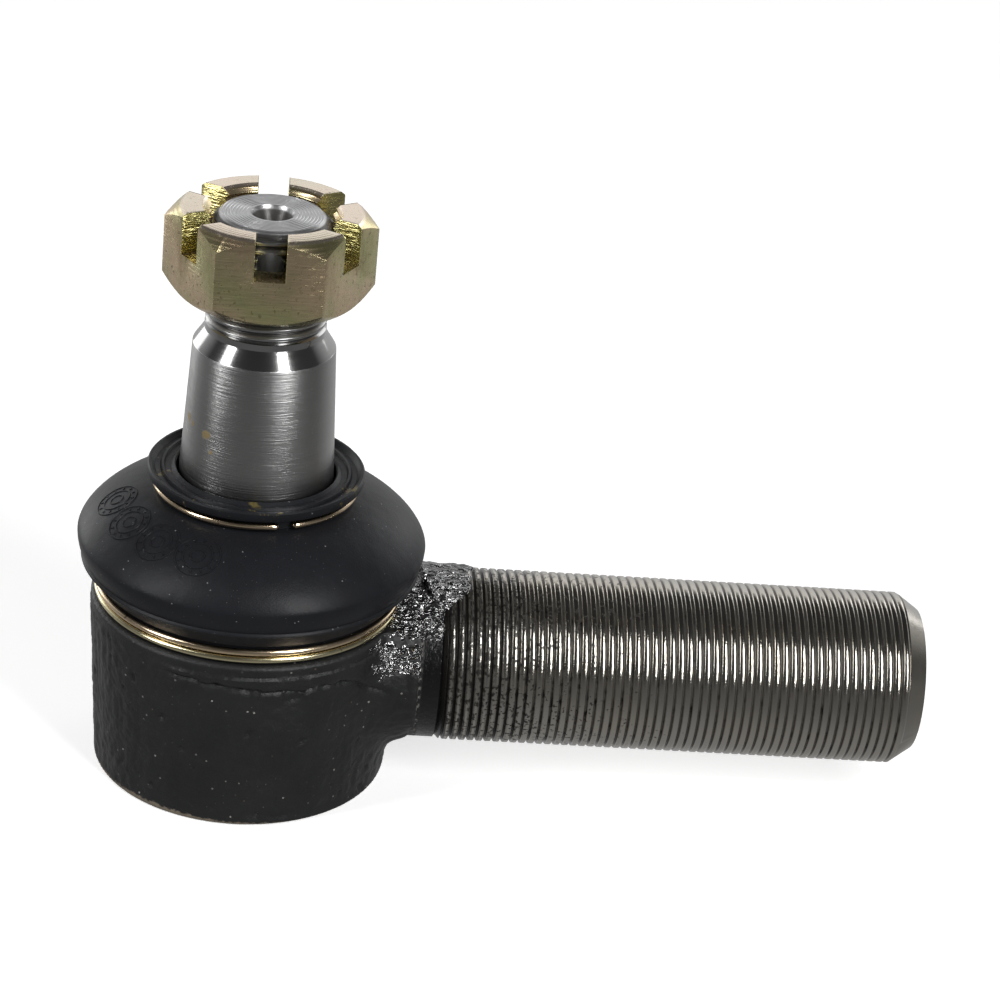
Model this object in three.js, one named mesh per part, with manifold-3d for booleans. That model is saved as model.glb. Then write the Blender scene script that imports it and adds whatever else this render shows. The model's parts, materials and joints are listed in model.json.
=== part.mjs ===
// Tie rod end: a forged eye with a threaded shank, and a ball stud that swings and turns in it.
// Millimetres. +Z runs up the stud, +X along the shank. The origin is the middle of the
// closing cover's outer face, on the stud's axis at rest.

import * as THREE from 'three';
import { mergeVertices } from 'three/addons/utils/BufferGeometryUtils.js';
import Module from 'manifold-3d';

// ---------------------------------------------------------------- driving dimensions

const GAP = 0.3; // clearance between two pieces that touch on the real joint

// ball joint
const BALL_RADIUS = 16;
const BALL_FLAT_CUT = 2.5; // cut off the bottom of the ball
const SEAT_WALL = 2.7;
const SEAT_FLOOR = 1.5;
const SEAT_MOUTH_INSET = 2.6; // the upper seat's mouth is this much narrower than the ball
const BALL_OVERHANG = 1; // the housing's mouth is this much narrower than the ball

// closure under the ball
const RIM_THICKNESS = 1.2; // lip of the housing rolled over the cover
const RIM_OVERLAP = 1.8;
const COVER_THICKNESS = 2;
const COVER_SEAT_WIDTH = 2.6; // how far the cover reaches past the bore
const COVER_DISH_RADIUS = 11;
const COVER_DISH_SLOPE = 2.4;
const SPRING_THICKNESS = 1;
const SPRING_RISE = 1.1;
const SPRING_HOLE_RADIUS = 8.5;
const SPRING_INSET = 1.5; // the spring is this much smaller than the bore
const SEAL_WIRE = 1.5;

// housing
const EYE_WALL = 7.8; // at the top of the eye
const EYE_DRAFT = 1.8; // the eye is this much slimmer at its foot
const EYE_EDGE = 1;
const SHOULDER_RISE = 10.1; // top of the eye's side above the ball's centre
const BOOT_GROOVE_WALL = 3.2; // from the bore to the bottom of the boot groove
const BOOT_GROOVE_HEIGHT = 4.4;
const COLLAR_HEIGHT = 1.4;
const COLLAR_LIP = 1.3;
const MOUTH_FLARE = 1.4;
const MOUTH_FLARE_HEIGHT = 2;

// threaded shank
const SHANK_RADIUS = 15;
const SHANK_REACH = 116.7; // stud axis to the shank's end face
const SHANK_CHAMFER_LENGTH = 3.75;
const SHANK_CHAMFER_DEPTH = 2.6;
const SHANK_CENTRE_RADIUS = 2.5;
const NECK_OVERSIZE = 0.5; // the forged neck is this much thicker than the thread
const NECK_REACH = 2.5; // the forged neck ends this far outside the eye
const NECK_FLARE_WIDTH = 6; // half axes of the elliptic flare from the neck into the eye
const NECK_FLARE_LENGTH = 11.1;
const NECK_FLARE_TURN = 60; // degrees of the ellipse that are used
const COLLAR_UNDERCUT = 0.3;
const COLLAR_LENGTH = 3.7; // smooth collar between the neck and the thread

// ball stud
const STUD_NECK_RADIUS = 8.5;
const STUD_NECK_TOP = 18.5; // all three heights are above the ball's centre
const CONE_FOOT = 29;
const CONE_TOP = 56.35;
const CONE_TAPER = 1 / 10; // on the diameter
const THREAD_RADIUS = 10;
const CONE_SHOULDER = 1.8; // the cone's small end stands this much proud of the thread
const SHOULDER_HEIGHT = 2.6;
const THREAD_LENGTH = 20.25;
const THREAD_CHAMFER_LENGTH = 1.5;
const THREAD_CHAMFER_DEPTH = 1.7;
const CENTRE_MOUTH_RADIUS = 3.6;
const CENTRE_DRILL_RADIUS = 1.6;
const CENTRE_DRILL_LENGTH = 2.5;
const COTTER_RADIUS = 2.2;
const COTTER_RISE = 0.8; // the cross hole is this much above the slot floor

// castle nut
const NUT_FLATS = 30;
const NUT_HEIGHT = 14.4;
const NUT_PROUD = 0.8; // the nut stands this much above the stud's end
const NUT_FACE_RADIUS = 14.5;
const NUT_CHAMFER_ANGLE = 40; // degrees from the nut's faces
const NUT_BORE_CHAMFER = 1;
const SLOT_WIDTH = 5;
const SLOT_DEPTH = 6.8;

// dust boot and its two wire rings
const BOOT_WALL = 2;
const BOOT_OVERHANG = 2.3; // the belly stands this far outside the eye
const BOOT_CREASE_INSET = 1.1;
const BOOT_CREASE_RISE = 2.7;
const BOOT_BELLY_RISE = 7.8; // crease and belly are above the lower ring's top
const BOOT_DOME_HEIGHT = 8.9;
const DOME_FLATNESS = 1.35; // 1 is a round dome, 2 a straight cone
const BOOT_NECK_WALL = 2.6;
const BOOT_NECK_HEIGHT = 2.4;
const FLANGE_OVERHANG = 2.4;
const FLANGE_HEIGHT = 1.6;
const FLANGE_DIP = 0.7;
const WIRE = 1.3;
const UPPER_RING_GAP = 2.2; // open ends of the upper ring
const UPPER_RING_GAP_ANGLE = -72; // degrees about +Z, 0 is towards the shank

const ROUND_STEPS = 40;
const EYE_STEPS = 56;

// ---------------------------------------------------------------- worked out from those

const coverFlange = RIM_THICKNESS + GAP;
const coverTop = coverFlange + COVER_THICKNESS;
const springFoot = coverTop + GAP;
const springTop = springFoot + SPRING_RISE + SPRING_THICKNESS;
const seatFoot = springTop + GAP;
const ballFlat = BALL_RADIUS - BALL_FLAT_CUT;
const ballCentre = seatFoot + SEAT_FLOOR + GAP + ballFlat;

const seatInner = BALL_RADIUS + GAP;
const seatOuter = seatInner + SEAT_WALL;
const boreRadius = seatOuter + GAP;
const mouthRadius = BALL_RADIUS - BALL_OVERHANG;
const coverRadius = boreRadius + COVER_SEAT_WIDTH;
const recessRadius = coverRadius + GAP;
const recessTop = coverTop + GAP;
const sealStepRadius = boreRadius + SEAL_WIRE + 2 * GAP;
const sealStepTop = coverTop + SEAL_WIRE + 2 * GAP;

const eyeRadius = boreRadius + EYE_WALL;
const footRadius = eyeRadius - EYE_DRAFT;
const shoulder = ballCentre + SHOULDER_RISE;
const grooveRadius = boreRadius + BOOT_GROOVE_WALL;
const grooveTop = shoulder + BOOT_GROOVE_HEIGHT;
const collarTop = grooveTop + COLLAR_HEIGHT;
const collarRadius = grooveRadius + COLLAR_LIP;

const lipInner = grooveRadius + GAP;
const lipOuter = lipInner + BOOT_WALL;
const lipFoot = shoulder + GAP;
const lipTop = grooveTop - GAP;
const lowerRingTop = lipFoot + 2 * WIRE;
const lowerRingInner = lipOuter + GAP;
const bellyRadius = eyeRadius + BOOT_OVERHANG;
const creaseRadius = bellyRadius - BOOT_CREASE_INSET;
const creaseHeight = lowerRingTop + GAP + BOOT_CREASE_RISE;
const bellyHeight = lowerRingTop + GAP + BOOT_BELLY_RISE;
const domeTop = bellyHeight + BOOT_DOME_HEIGHT;

const neckTop = ballCentre + STUD_NECK_TOP;
const coneFoot = ballCentre + CONE_FOOT;
const coneTop = ballCentre + CONE_TOP;
const coneSmallRadius = THREAD_RADIUS + CONE_SHOULDER;
const coneRadiusAt = (z) => coneSmallRadius + ((coneTop - z) * CONE_TAPER) / 2;
const coneLargeRadius = coneRadiusAt(coneFoot);
const threadFoot = coneTop + SHOULDER_HEIGHT;
const studTop = threadFoot + THREAD_LENGTH;

const bootBore = coneLargeRadius + GAP;
const bootNeckRadius = bootBore + BOOT_NECK_WALL - GAP;
const flangeFoot = domeTop + BOOT_NECK_HEIGHT;
const flangeTop = flangeFoot + FLANGE_HEIGHT;
const flangeRadius = bootNeckRadius + FLANGE_OVERHANG;

const nutTop = studTop + NUT_PROUD;
const nutFoot = nutTop - NUT_HEIGHT;
const slotFoot = nutTop - SLOT_DEPTH;
const nutCorner = NUT_FLATS / Math.sqrt(3);
const cotterHeight = slotFoot + COTTER_RISE;

const neckEnd = eyeRadius + NECK_REACH;
const shankStart = neckEnd + COLLAR_LENGTH;
const neckRadius = SHANK_RADIUS + NECK_OVERSIZE;
const collarShankRadius = SHANK_RADIUS - COLLAR_UNDERCUT;

// ---------------------------------------------------------------- shaping helpers

const wasm = await Module();
wasm.setup();

const degrees = THREE.MathUtils.degToRad;

/** Points [radius, height] along a circular arc about (r0, z0), angles in degrees from +r. */
function arc(r0, z0, radius, from, to, steps) {
  return Array.from({ length: steps + 1 }, (_, i) => {
    const angle = degrees(from + ((to - from) * i) / steps);
    return [r0 + radius * Math.cos(angle), z0 + radius * Math.sin(angle)];
  });
}

/** Points along a quarter ellipse from (rOut, zLow) to (rIn, zHigh); a power above 1 flattens it. */
function quarterEllipse(rOut, zLow, rIn, zHigh, steps, power = 1) {
  return Array.from({ length: steps + 1 }, (_, i) => {
    const angle = (Math.PI / 2) * (i / steps);
    const across = Math.cos(angle) ** power;
    const up = Math.sin(angle) ** power;
    return [rIn + (rOut - rIn) * across, zLow + (zHigh - zLow) * up];
  });
}

/** Turns a geometry's faces outwards, with its shared vertices merged. */
function closed(geometry) {
  const bare = geometry.index ? geometry.clone() : geometry;
  bare.deleteAttribute('normal');
  bare.deleteAttribute('uv');
  const merged = mergeVertices(bare, 1e-4);
  const position = merged.attributes.position;
  const index = Array.from(merged.index.array);
  const corner = (i) => new THREE.Vector3().fromBufferAttribute(position, index[i]);
  let volume = 0;
  for (let i = 0; i < index.length; i += 3) {
    volume += corner(i).dot(corner(i + 1).cross(corner(i + 2)));
  }
  if (volume < 0) {
    index.reverse();
  }
  merged.setIndex(index);
  return merged;
}

/** A body turned about +Z from [radius, height] points that start and end on the axis. */
function turned(points, steps = ROUND_STEPS) {
  const profile = points.map(([r, z]) => new THREE.Vector2(Math.max(r, 0), z));
  return closed(new THREE.LatheGeometry(profile, steps).rotateX(Math.PI / 2));
}

/** A ring turned about +Z from a closed loop of [radius, height] points. */
function turnedRing(points, steps = ROUND_STEPS) {
  return turned([...points, points[0]], steps);
}

/** A geometry as a solid that can be joined and cut. */
function solid(geometry) {
  const source = closed(geometry);
  return new wasm.Manifold(new wasm.Mesh({
    numProp: 3,
    vertProperties: new Float32Array(source.attributes.position.array),
    triVerts: new Uint32Array(source.index.array),
  }));
}

/** A joined or cut solid back as a geometry. */
function geometryOf(body) {
  const mesh = body.getMesh();
  const geometry = new THREE.BufferGeometry();
  geometry.setAttribute('position', new THREE.BufferAttribute(mesh.vertProperties, 3));
  geometry.setIndex(new THREE.BufferAttribute(mesh.triVerts, 1));
  return geometry;
}

/** A block centred on (x, y) that starts at height z, turned about +Z by an angle in degrees. */
function block(width, depth, height, x, y, z, angle = 0) {
  return new THREE.BoxGeometry(width, depth, height)
    .translate(x, y, z + height / 2)
    .rotateZ(degrees(angle));
}

// ---------------------------------------------------------------- housing

/** The eye's bore: cover recess, seal step, ball chamber and the mouth for the stud. */
function eyeBore() {
  const mouthRise = Math.sqrt(boreRadius ** 2 - mouthRadius ** 2);
  const mouthAngle = THREE.MathUtils.radToDeg(Math.atan2(mouthRise, mouthRadius));
  return turned([
    [0, -1],
    [recessRadius - RIM_OVERLAP, -1],
    [recessRadius - RIM_OVERLAP, RIM_THICKNESS],
    [recessRadius, RIM_THICKNESS],
    [recessRadius, recessTop],
    [sealStepRadius, recessTop],
    [sealStepRadius, sealStepTop],
    [boreRadius, sealStepTop],
    ...arc(0, ballCentre, boreRadius, 0, mouthAngle, 8),
    [mouthRadius, collarTop - MOUTH_FLARE_HEIGHT],
    [mouthRadius + MOUTH_FLARE, collarTop],
    [mouthRadius + MOUTH_FLARE, collarTop + 1],
    [0, collarTop + 1],
  ]);
}

function eye() {
  return turned([
    [0, 0],
    [footRadius - EYE_EDGE, 0],
    [footRadius, EYE_EDGE],
    [eyeRadius, shoulder - EYE_EDGE],
    [eyeRadius - EYE_EDGE, shoulder],
    [grooveRadius, shoulder],
    [grooveRadius, grooveTop],
    [collarRadius, grooveTop],
    [collarRadius, collarTop],
    [0, collarTop],
  ], EYE_STEPS);
}

/** Forged neck and machined shank, turned about the shank's own axis. */
function shank() {
  const chamferStart = SHANK_REACH - SHANK_CHAMFER_LENGTH;
  const flare = Array.from({ length: 6 }, (_, i) => {
    const angle = degrees(NECK_FLARE_TURN * (1 - i / 5));
    return [
      neckRadius + NECK_FLARE_WIDTH * (1 - Math.cos(angle)),
      neckEnd - EYE_EDGE - NECK_FLARE_LENGTH * Math.sin(angle),
    ];
  });
  return turned([
    [0, 0],
    [flare[0][0], 0],
    ...flare,
    [neckRadius, neckEnd],
    [collarShankRadius, neckEnd],
    [collarShankRadius, shankStart],
    [SHANK_RADIUS, shankStart],
    [SHANK_RADIUS, chamferStart],
    [SHANK_RADIUS - SHANK_CHAMFER_DEPTH, SHANK_REACH],
    [SHANK_CENTRE_RADIUS, SHANK_REACH],
    [0, SHANK_REACH - SHANK_CENTRE_RADIUS * Math.sqrt(3)],
  ]).rotateY(Math.PI / 2).translate(0, 0, ballCentre);
}

/** Room that the boot and its lower ring need above the eye's shoulder. */
function bootRoom() {
  return turned([
    [0, shoulder],
    [eyeRadius + GAP, shoulder],
    [bellyRadius + GAP, creaseHeight],
    [bellyRadius + GAP, domeTop],
    [0, domeTop],
  ], EYE_STEPS);
}

function housingGeometry() {
  const arm = solid(shank()).subtract(solid(bootRoom()));
  return geometryOf(solid(eye()).add(arm).subtract(solid(eyeBore())));
}

// ---------------------------------------------------------------- ball, seats and closure

function ballStudGeometry() {
  const flatAngle = THREE.MathUtils.radToDeg(Math.asin(-ballFlat / BALL_RADIUS));
  const neckAngle = THREE.MathUtils.radToDeg(Math.acos(STUD_NECK_RADIUS / BALL_RADIUS));
  const flareWidth = coneLargeRadius - STUD_NECK_RADIUS;
  const flare = quarterEllipse(-flareWidth, neckTop, 0, coneFoot, 6)
    .map(([r, z]) => [coneLargeRadius + r, z]);
  const centreDepth = (CENTRE_MOUTH_RADIUS - CENTRE_DRILL_RADIUS) * Math.sqrt(3);
  const stud = turned([
    [0, ballCentre - ballFlat],
    ...arc(0, ballCentre, BALL_RADIUS, flatAngle, neckAngle, 12),
    ...flare,
    [coneSmallRadius, coneTop],
    [THREAD_RADIUS, threadFoot],
    [THREAD_RADIUS, studTop - THREAD_CHAMFER_LENGTH],
    [THREAD_RADIUS - THREAD_CHAMFER_DEPTH, studTop],
    [CENTRE_MOUTH_RADIUS, studTop],
    [CENTRE_DRILL_RADIUS, studTop - centreDepth],
    [CENTRE_DRILL_RADIUS, studTop - centreDepth - CENTRE_DRILL_LENGTH],
    [0, studTop - centreDepth - CENTRE_DRILL_LENGTH - CENTRE_DRILL_RADIUS / 2],
  ]);
  const crossHole = new THREE.CylinderGeometry(COTTER_RADIUS, COTTER_RADIUS, 4 * THREAD_RADIUS, 16)
    .translate(0, 0, cotterHeight);
  return geometryOf(solid(stud).subtract(solid(crossHole)));
}

function upperSeatGeometry() {
  const mouth = BALL_RADIUS - SEAT_MOUTH_INSET;
  const innerAngle = THREE.MathUtils.radToDeg(Math.acos(mouth / seatInner));
  return turnedRing([
    ...arc(0, ballCentre + GAP / 2, seatOuter - GAP / 2, 0, innerAngle, 6),
    ...arc(0, ballCentre + GAP / 2, seatInner, 0, innerAngle, 6).reverse(),
  ]);
}

function lowerSeatGeometry() {
  const floor = ballCentre - ballFlat - GAP;
  const floorRise = ballCentre - GAP / 2 - floor;
  const floorAngle = THREE.MathUtils.radToDeg(Math.asin(floorRise / seatInner));
  return turnedRing([
    [seatInner * Math.cos(degrees(floorAngle)), seatFoot],
    [seatOuter, seatFoot],
    [seatOuter, ballCentre - GAP / 2],
    ...arc(0, ballCentre - GAP / 2, seatInner, 0, -floorAngle, 8),
  ]);
}

function discSpringGeometry() {
  const outer = boreRadius - SPRING_INSET;
  return turnedRing([
    [outer, springFoot],
    [outer, springFoot + SPRING_THICKNESS],
    [SPRING_HOLE_RADIUS, springTop],
    [SPRING_HOLE_RADIUS, springTop - SPRING_THICKNESS],
  ]);
}

function closingCoverGeometry() {
  return turned([
    [0, 0],
    [COVER_DISH_RADIUS, 0],
    [COVER_DISH_RADIUS + COVER_DISH_SLOPE, coverFlange],
    [coverRadius, coverFlange],
    [coverRadius, coverTop],
    [COVER_DISH_RADIUS + COVER_DISH_SLOPE, coverTop],
    [COVER_DISH_RADIUS, COVER_THICKNESS],
    [0, COVER_THICKNESS],
  ]);
}

function sealRingGeometry() {
  const radius = SEAL_WIRE / 2;
  const middle = arc(sealStepRadius - GAP - radius, coverTop + GAP + radius, radius, 0, 360, 6);
  return turnedRing(middle.slice(0, -1));
}

// ---------------------------------------------------------------- nut

function castleNutGeometry() {
  const corners = Array.from({ length: 6 }, (_, i) => {
    const angle = degrees(60 * i);
    return new THREE.Vector2(nutCorner * Math.cos(angle), nutCorner * Math.sin(angle));
  });
  const hexagon = new THREE.ExtrudeGeometry(new THREE.Shape(corners), {
    depth: NUT_HEIGHT,
    bevelEnabled: false,
  }).translate(0, 0, nutFoot);
  const faceRadius = Math.min(NUT_FACE_RADIUS, NUT_FLATS / 2);
  const chamfer = (nutCorner - faceRadius) * Math.tan(degrees(NUT_CHAMFER_ANGLE));
  const envelope = turned([
    [0, nutFoot],
    [faceRadius, nutFoot],
    [nutCorner, nutFoot + chamfer],
    [nutCorner, nutTop - chamfer],
    [faceRadius, nutTop],
    [0, nutTop],
  ]);
  const boreRadiusOfNut = THREAD_RADIUS + GAP;
  const bore = turned([
    [0, nutFoot - 1],
    [boreRadiusOfNut + NUT_BORE_CHAMFER + 1, nutFoot - 1],
    [boreRadiusOfNut, nutFoot + NUT_BORE_CHAMFER],
    [boreRadiusOfNut, nutTop - NUT_BORE_CHAMFER],
    [boreRadiusOfNut + NUT_BORE_CHAMFER + 1, nutTop + 1],
    [0, nutTop + 1],
  ]);
  let nut = solid(hexagon).intersect(solid(envelope)).subtract(solid(bore));
  for (const angle of [30, 90, 150]) {
    const slot = block(3 * nutCorner, SLOT_WIDTH, SLOT_DEPTH + 1, 0, 0, slotFoot, angle);
    nut = nut.subtract(solid(slot));
  }
  return geometryOf(nut);
}

// ---------------------------------------------------------------- boot and rings

function dustBootGeometry() {
  const innerBelly = bellyRadius - BOOT_WALL;
  const innerDomeTop = domeTop - BOOT_WALL;
  const innerCrease = creaseRadius - BOOT_WALL;
  const flangeGroove = (flangeRadius + bootBore) / 2;
  return turnedRing([
    [lipInner, lipFoot],
    [lipOuter, lipFoot],
    [lipOuter, lowerRingTop + GAP],
    [creaseRadius, creaseHeight],
    ...quarterEllipse(bellyRadius, bellyHeight, bootNeckRadius, domeTop, 6, DOME_FLATNESS),
    [bootNeckRadius, flangeFoot],
    [flangeRadius, flangeFoot],
    [flangeRadius, flangeTop],
    [flangeRadius - BOOT_WALL / 2, flangeTop],
    [flangeGroove, flangeTop - FLANGE_DIP],
    [bootBore, flangeTop],
    [bootBore, innerDomeTop],
    ...quarterEllipse(innerBelly, bellyHeight, bootBore + GAP, innerDomeTop, 4, DOME_FLATNESS).reverse(),
    [innerCrease, creaseHeight + BOOT_WALL / 2],
    [collarRadius + GAP, collarTop],
    [collarRadius + GAP, lipTop],
    [lipInner, lipTop],
  ]);
}

function lowerRingGeometry() {
  const r = lowerRingInner + WIRE / 2;
  const turn = (z, from, to) => arc(r, z, WIRE / 2, from, to, 3);
  return turnedRing([
    ...turn(lipFoot + WIRE / 2, -150, -30),
    ...turn(lowerRingTop - WIRE / 2, 30, 150),
  ]);
}

function upperRingGeometry() {
  const r = bootNeckRadius + GAP + WIRE / 2;
  const z = domeTop + GAP + WIRE / 2;
  const ring = turnedRing(arc(r, z, WIRE / 2, 0, 360, 8).slice(0, -1));
  const opening = block(3 * WIRE, UPPER_RING_GAP, 3 * WIRE, r, 0, z - 1.5 * WIRE, UPPER_RING_GAP_ANGLE);
  return geometryOf(solid(ring).subtract(solid(opening)));
}

// ---------------------------------------------------------------- finishes and the assembly

const finish = (color, roughness, metalness) =>
  new THREE.MeshStandardMaterial({ color, roughness, metalness });

const pieces = [
  ['housing', housingGeometry(), finish(0x1b1b1d, 0.45, 0.3)],
  ['ball_stud', ballStudGeometry(), finish(0x8d8e90, 0.3, 1)],
  ['castle_nut', castleNutGeometry(), finish(0xb59c5c, 0.35, 1)],
  ['upper_ball_seat', upperSeatGeometry(), finish(0xe6e2d6, 0.5, 0)],
  ['lower_ball_seat', lowerSeatGeometry(), finish(0xdedacb, 0.5, 0)],
  ['disc_spring', discSpringGeometry(), finish(0x3c3b3a, 0.4, 1)],
  ['closing_cover', closingCoverGeometry(), finish(0x2a2a2c, 0.45, 0.6)],
  ['cover_seal_ring', sealRingGeometry(), finish(0x151515, 0.8, 0)],
  ['dust_boot', dustBootGeometry(), finish(0x202123, 0.75, 0)],
  ['boot_lower_ring', lowerRingGeometry(), finish(0xb98f4f, 0.3, 1)],
  ['boot_upper_ring', upperRingGeometry(), finish(0xb98f4f, 0.3, 1)],
];

const tieRodEnd = new THREE.Group();
for (const [name, geometry, material] of pieces) {
  const piece = new THREE.Mesh(geometry, material);
  piece.name = name;
  tieRodEnd.add(piece);
}

export default tieRodEnd;
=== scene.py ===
"""Tie rod end: forged eye with a threaded shank, tapered ball stud, castle nut and dust boot.

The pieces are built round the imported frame, in metres. Sizes inside the classes are in
millimetres, because that is how such a joint is drawn, and MM turns them into metres.
"""

import json
import logging
import math
from dataclasses import dataclass, field
from enum import Enum
from typing import Sequence

import bmesh
import bpy
from mathutils import Matrix, Vector, noise
from mathutils.bvhtree import BVHTree


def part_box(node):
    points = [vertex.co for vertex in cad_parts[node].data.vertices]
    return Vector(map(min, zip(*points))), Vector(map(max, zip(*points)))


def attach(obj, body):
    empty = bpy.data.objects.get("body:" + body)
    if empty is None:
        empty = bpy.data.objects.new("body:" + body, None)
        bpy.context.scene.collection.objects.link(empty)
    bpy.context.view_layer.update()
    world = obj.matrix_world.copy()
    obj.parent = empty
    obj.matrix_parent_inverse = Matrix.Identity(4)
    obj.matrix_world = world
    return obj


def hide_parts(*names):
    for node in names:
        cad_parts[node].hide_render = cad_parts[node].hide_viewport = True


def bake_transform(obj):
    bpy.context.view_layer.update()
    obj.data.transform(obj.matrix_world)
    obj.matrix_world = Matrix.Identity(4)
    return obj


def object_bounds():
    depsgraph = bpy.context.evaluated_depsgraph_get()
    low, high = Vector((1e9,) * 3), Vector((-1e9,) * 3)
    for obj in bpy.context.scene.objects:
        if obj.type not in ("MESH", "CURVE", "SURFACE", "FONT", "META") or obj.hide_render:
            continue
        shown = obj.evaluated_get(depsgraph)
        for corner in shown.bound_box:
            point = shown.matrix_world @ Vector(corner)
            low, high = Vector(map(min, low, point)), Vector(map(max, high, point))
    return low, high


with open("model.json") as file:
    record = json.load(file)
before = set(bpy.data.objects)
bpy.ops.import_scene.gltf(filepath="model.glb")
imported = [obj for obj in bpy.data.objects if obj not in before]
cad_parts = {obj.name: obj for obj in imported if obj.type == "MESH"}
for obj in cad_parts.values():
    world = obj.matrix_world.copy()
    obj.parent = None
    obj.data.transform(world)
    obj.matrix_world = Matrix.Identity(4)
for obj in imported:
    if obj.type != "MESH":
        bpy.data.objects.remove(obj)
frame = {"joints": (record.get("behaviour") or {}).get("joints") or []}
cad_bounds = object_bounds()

MM = 0.001
Point = tuple[float, float]
log = logging.getLogger("tie_rod_end")


# ------------------------------------------------------------------ the frame's own sizes


@dataclass(frozen=True)
class Extent:
    """Lowest and highest corner of a frame node, in millimetres."""

    low: Vector
    high: Vector

    @classmethod
    def of(cls, node: str) -> "Extent":
        """Reads a node's corners from the frame."""
        low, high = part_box(node)
        return cls(low / MM, high / MM)


def joint_height(name: str) -> float:
    """Height of a joint's point above the foot, in millimetres.

    Args:
        name: The joint's name in the frame.

    Returns:
        The height.
    """
    joint = next(j for j in frame["joints"] if j["name"] == name)
    return joint["pos_m"][2] / MM


BALL_HEIGHT = joint_height("stud_tilt")


# ------------------------------------------------------------------ mesh tools


class Joinery(Enum):
    """How one solid is worked with another."""

    JOIN = "UNION"
    CUT = "DIFFERENCE"
    KEEP = "INTERSECT"


class Axis(Enum):
    """The axis that a turned piece spins about."""

    STUD = "stud"
    SHANK = "shank"


def soften(points: Sequence[Point], radius: float, steps: int = 3) -> list[Point]:
    """Rounds the inner corners of an outline.

    Args:
        points: Outline points as (radius, height).
        radius: Size of the rounding, shortened where an edge is short.
        steps: Segments in each rounded corner.

    Returns:
        The outline with a small curve at each corner.
    """
    rounded = [points[0]]
    for before, corner, after in zip(points, points[1:], points[2:]):
        here = Vector(corner)
        back, ahead = Vector(before) - here, Vector(after) - here
        reach = min(radius, 0.45 * back.length, 0.45 * ahead.length)
        start, end = here + back.normalized() * reach, here + ahead.normalized() * reach
        for i in range(steps + 1):
            t = i / steps
            point = start * (1 - t) ** 2 + here * (2 * t * (1 - t)) + end * t**2
            rounded.append((point.x, point.y))
    return rounded + [points[-1]]


def arc(centre: Point, radius: float, start: float, end: float, steps: int) -> list[Point]:
    """Points on a circular arc, with angles in degrees from the outward direction.

    Args:
        centre: The arc's centre as (radius, height).
        radius: The arc's own radius.
        start: First angle.
        end: Last angle.
        steps: Number of segments.

    Returns:
        The points from start to end.
    """
    angles = [math.radians(start + (end - start) * i / steps) for i in range(steps + 1)]
    return [(centre[0] + radius * math.cos(a), centre[1] + radius * math.sin(a)) for a in angles]


def chain(bm: bmesh.types.BMesh, points: Sequence[Point]) -> list:
    """Adds a line of vertices and edges in the XZ plane, in metres.

    Args:
        bm: The mesh to add to.
        points: The outline as (radius, height) in millimetres.

    Returns:
        The new vertices and edges.
    """
    verts = [bm.verts.new((r * MM, 0, z * MM)) for r, z in points]
    edges = [bm.edges.new(pair) for pair in zip(verts, verts[1:])]
    return [*verts, *edges]


def tidy(bm: bmesh.types.BMesh, distance: float = 2e-6) -> None:
    """Merges doubles and turns the faces outwards."""
    bmesh.ops.remove_doubles(bm, verts=bm.verts, dist=distance)
    bmesh.ops.dissolve_degenerate(bm, edges=bm.edges, dist=distance / 10)
    bmesh.ops.recalc_face_normals(bm, faces=bm.faces)


def as_mesh(bm: bmesh.types.BMesh, name: str) -> bpy.types.Mesh:
    """Turns a finished bmesh into mesh data and frees it."""
    mesh = bpy.data.meshes.new(name)
    bm.to_mesh(mesh)
    bm.free()
    return mesh


def turned(points: Sequence[Point], steps: int = 128, axis: Axis = Axis.STUD) -> bpy.types.Mesh:
    """Spins an outline into a closed solid, as a lathe does.

    Args:
        points: (radius, height) that start and end on the axis, or close on themselves.
        steps: Segments round the axis.
        axis: The stud's axis, or the shank's, where height runs along the shank.

    Returns:
        The solid's mesh.
    """
    bm = bmesh.new()
    bmesh.ops.spin(bm, geom=chain(bm, points), cent=(0, 0, 0), axis=(0, 0, 1), angle=math.tau,
                   steps=steps, use_merge=True)
    if axis is Axis.SHANK:
        bmesh.ops.rotate(bm, verts=bm.verts, cent=(0, 0, 0), matrix=Matrix.Rotation(math.pi / 2, 3, "Y"))
        bmesh.ops.translate(bm, verts=bm.verts, vec=(0, 0, BALL_HEIGHT * MM))
    tidy(bm)
    return as_mesh(bm, "turned")


def block(size: Vector, centre: Vector, turn: float = 0.0) -> bpy.types.Mesh:
    """A block with its middle at centre, turned about the stud's axis.

    Args:
        size: Edge lengths in millimetres.
        centre: The middle in millimetres, before the turn.
        turn: Angle in degrees about +Z.

    Returns:
        The block's mesh.
    """
    bm = bmesh.new()
    bmesh.ops.create_cube(bm, size=1.0)
    bmesh.ops.scale(bm, verts=bm.verts, vec=size * MM)
    bmesh.ops.translate(bm, verts=bm.verts, vec=centre * MM)
    bmesh.ops.rotate(bm, verts=bm.verts, cent=(0, 0, 0), matrix=Matrix.Rotation(math.radians(turn), 3, "Z"))
    return as_mesh(bm, "block")


def bar(radius: float, length: float, centre: Vector, steps: int = 48) -> bpy.types.Mesh:
    """A round bar along +Y.

    Args:
        radius: Its radius in millimetres.
        length: Its length in millimetres.
        centre: Its middle in millimetres.
        steps: Segments round it.

    Returns:
        The bar's mesh.
    """
    bm = bmesh.new()
    bmesh.ops.create_cone(bm, cap_ends=True, segments=steps, radius1=radius * MM, radius2=radius * MM,
                          depth=length * MM)
    bmesh.ops.rotate(bm, verts=bm.verts, cent=(0, 0, 0), matrix=Matrix.Rotation(math.pi / 2, 3, "X"))
    bmesh.ops.translate(bm, verts=bm.verts, vec=centre * MM)
    return as_mesh(bm, "bar")


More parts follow.
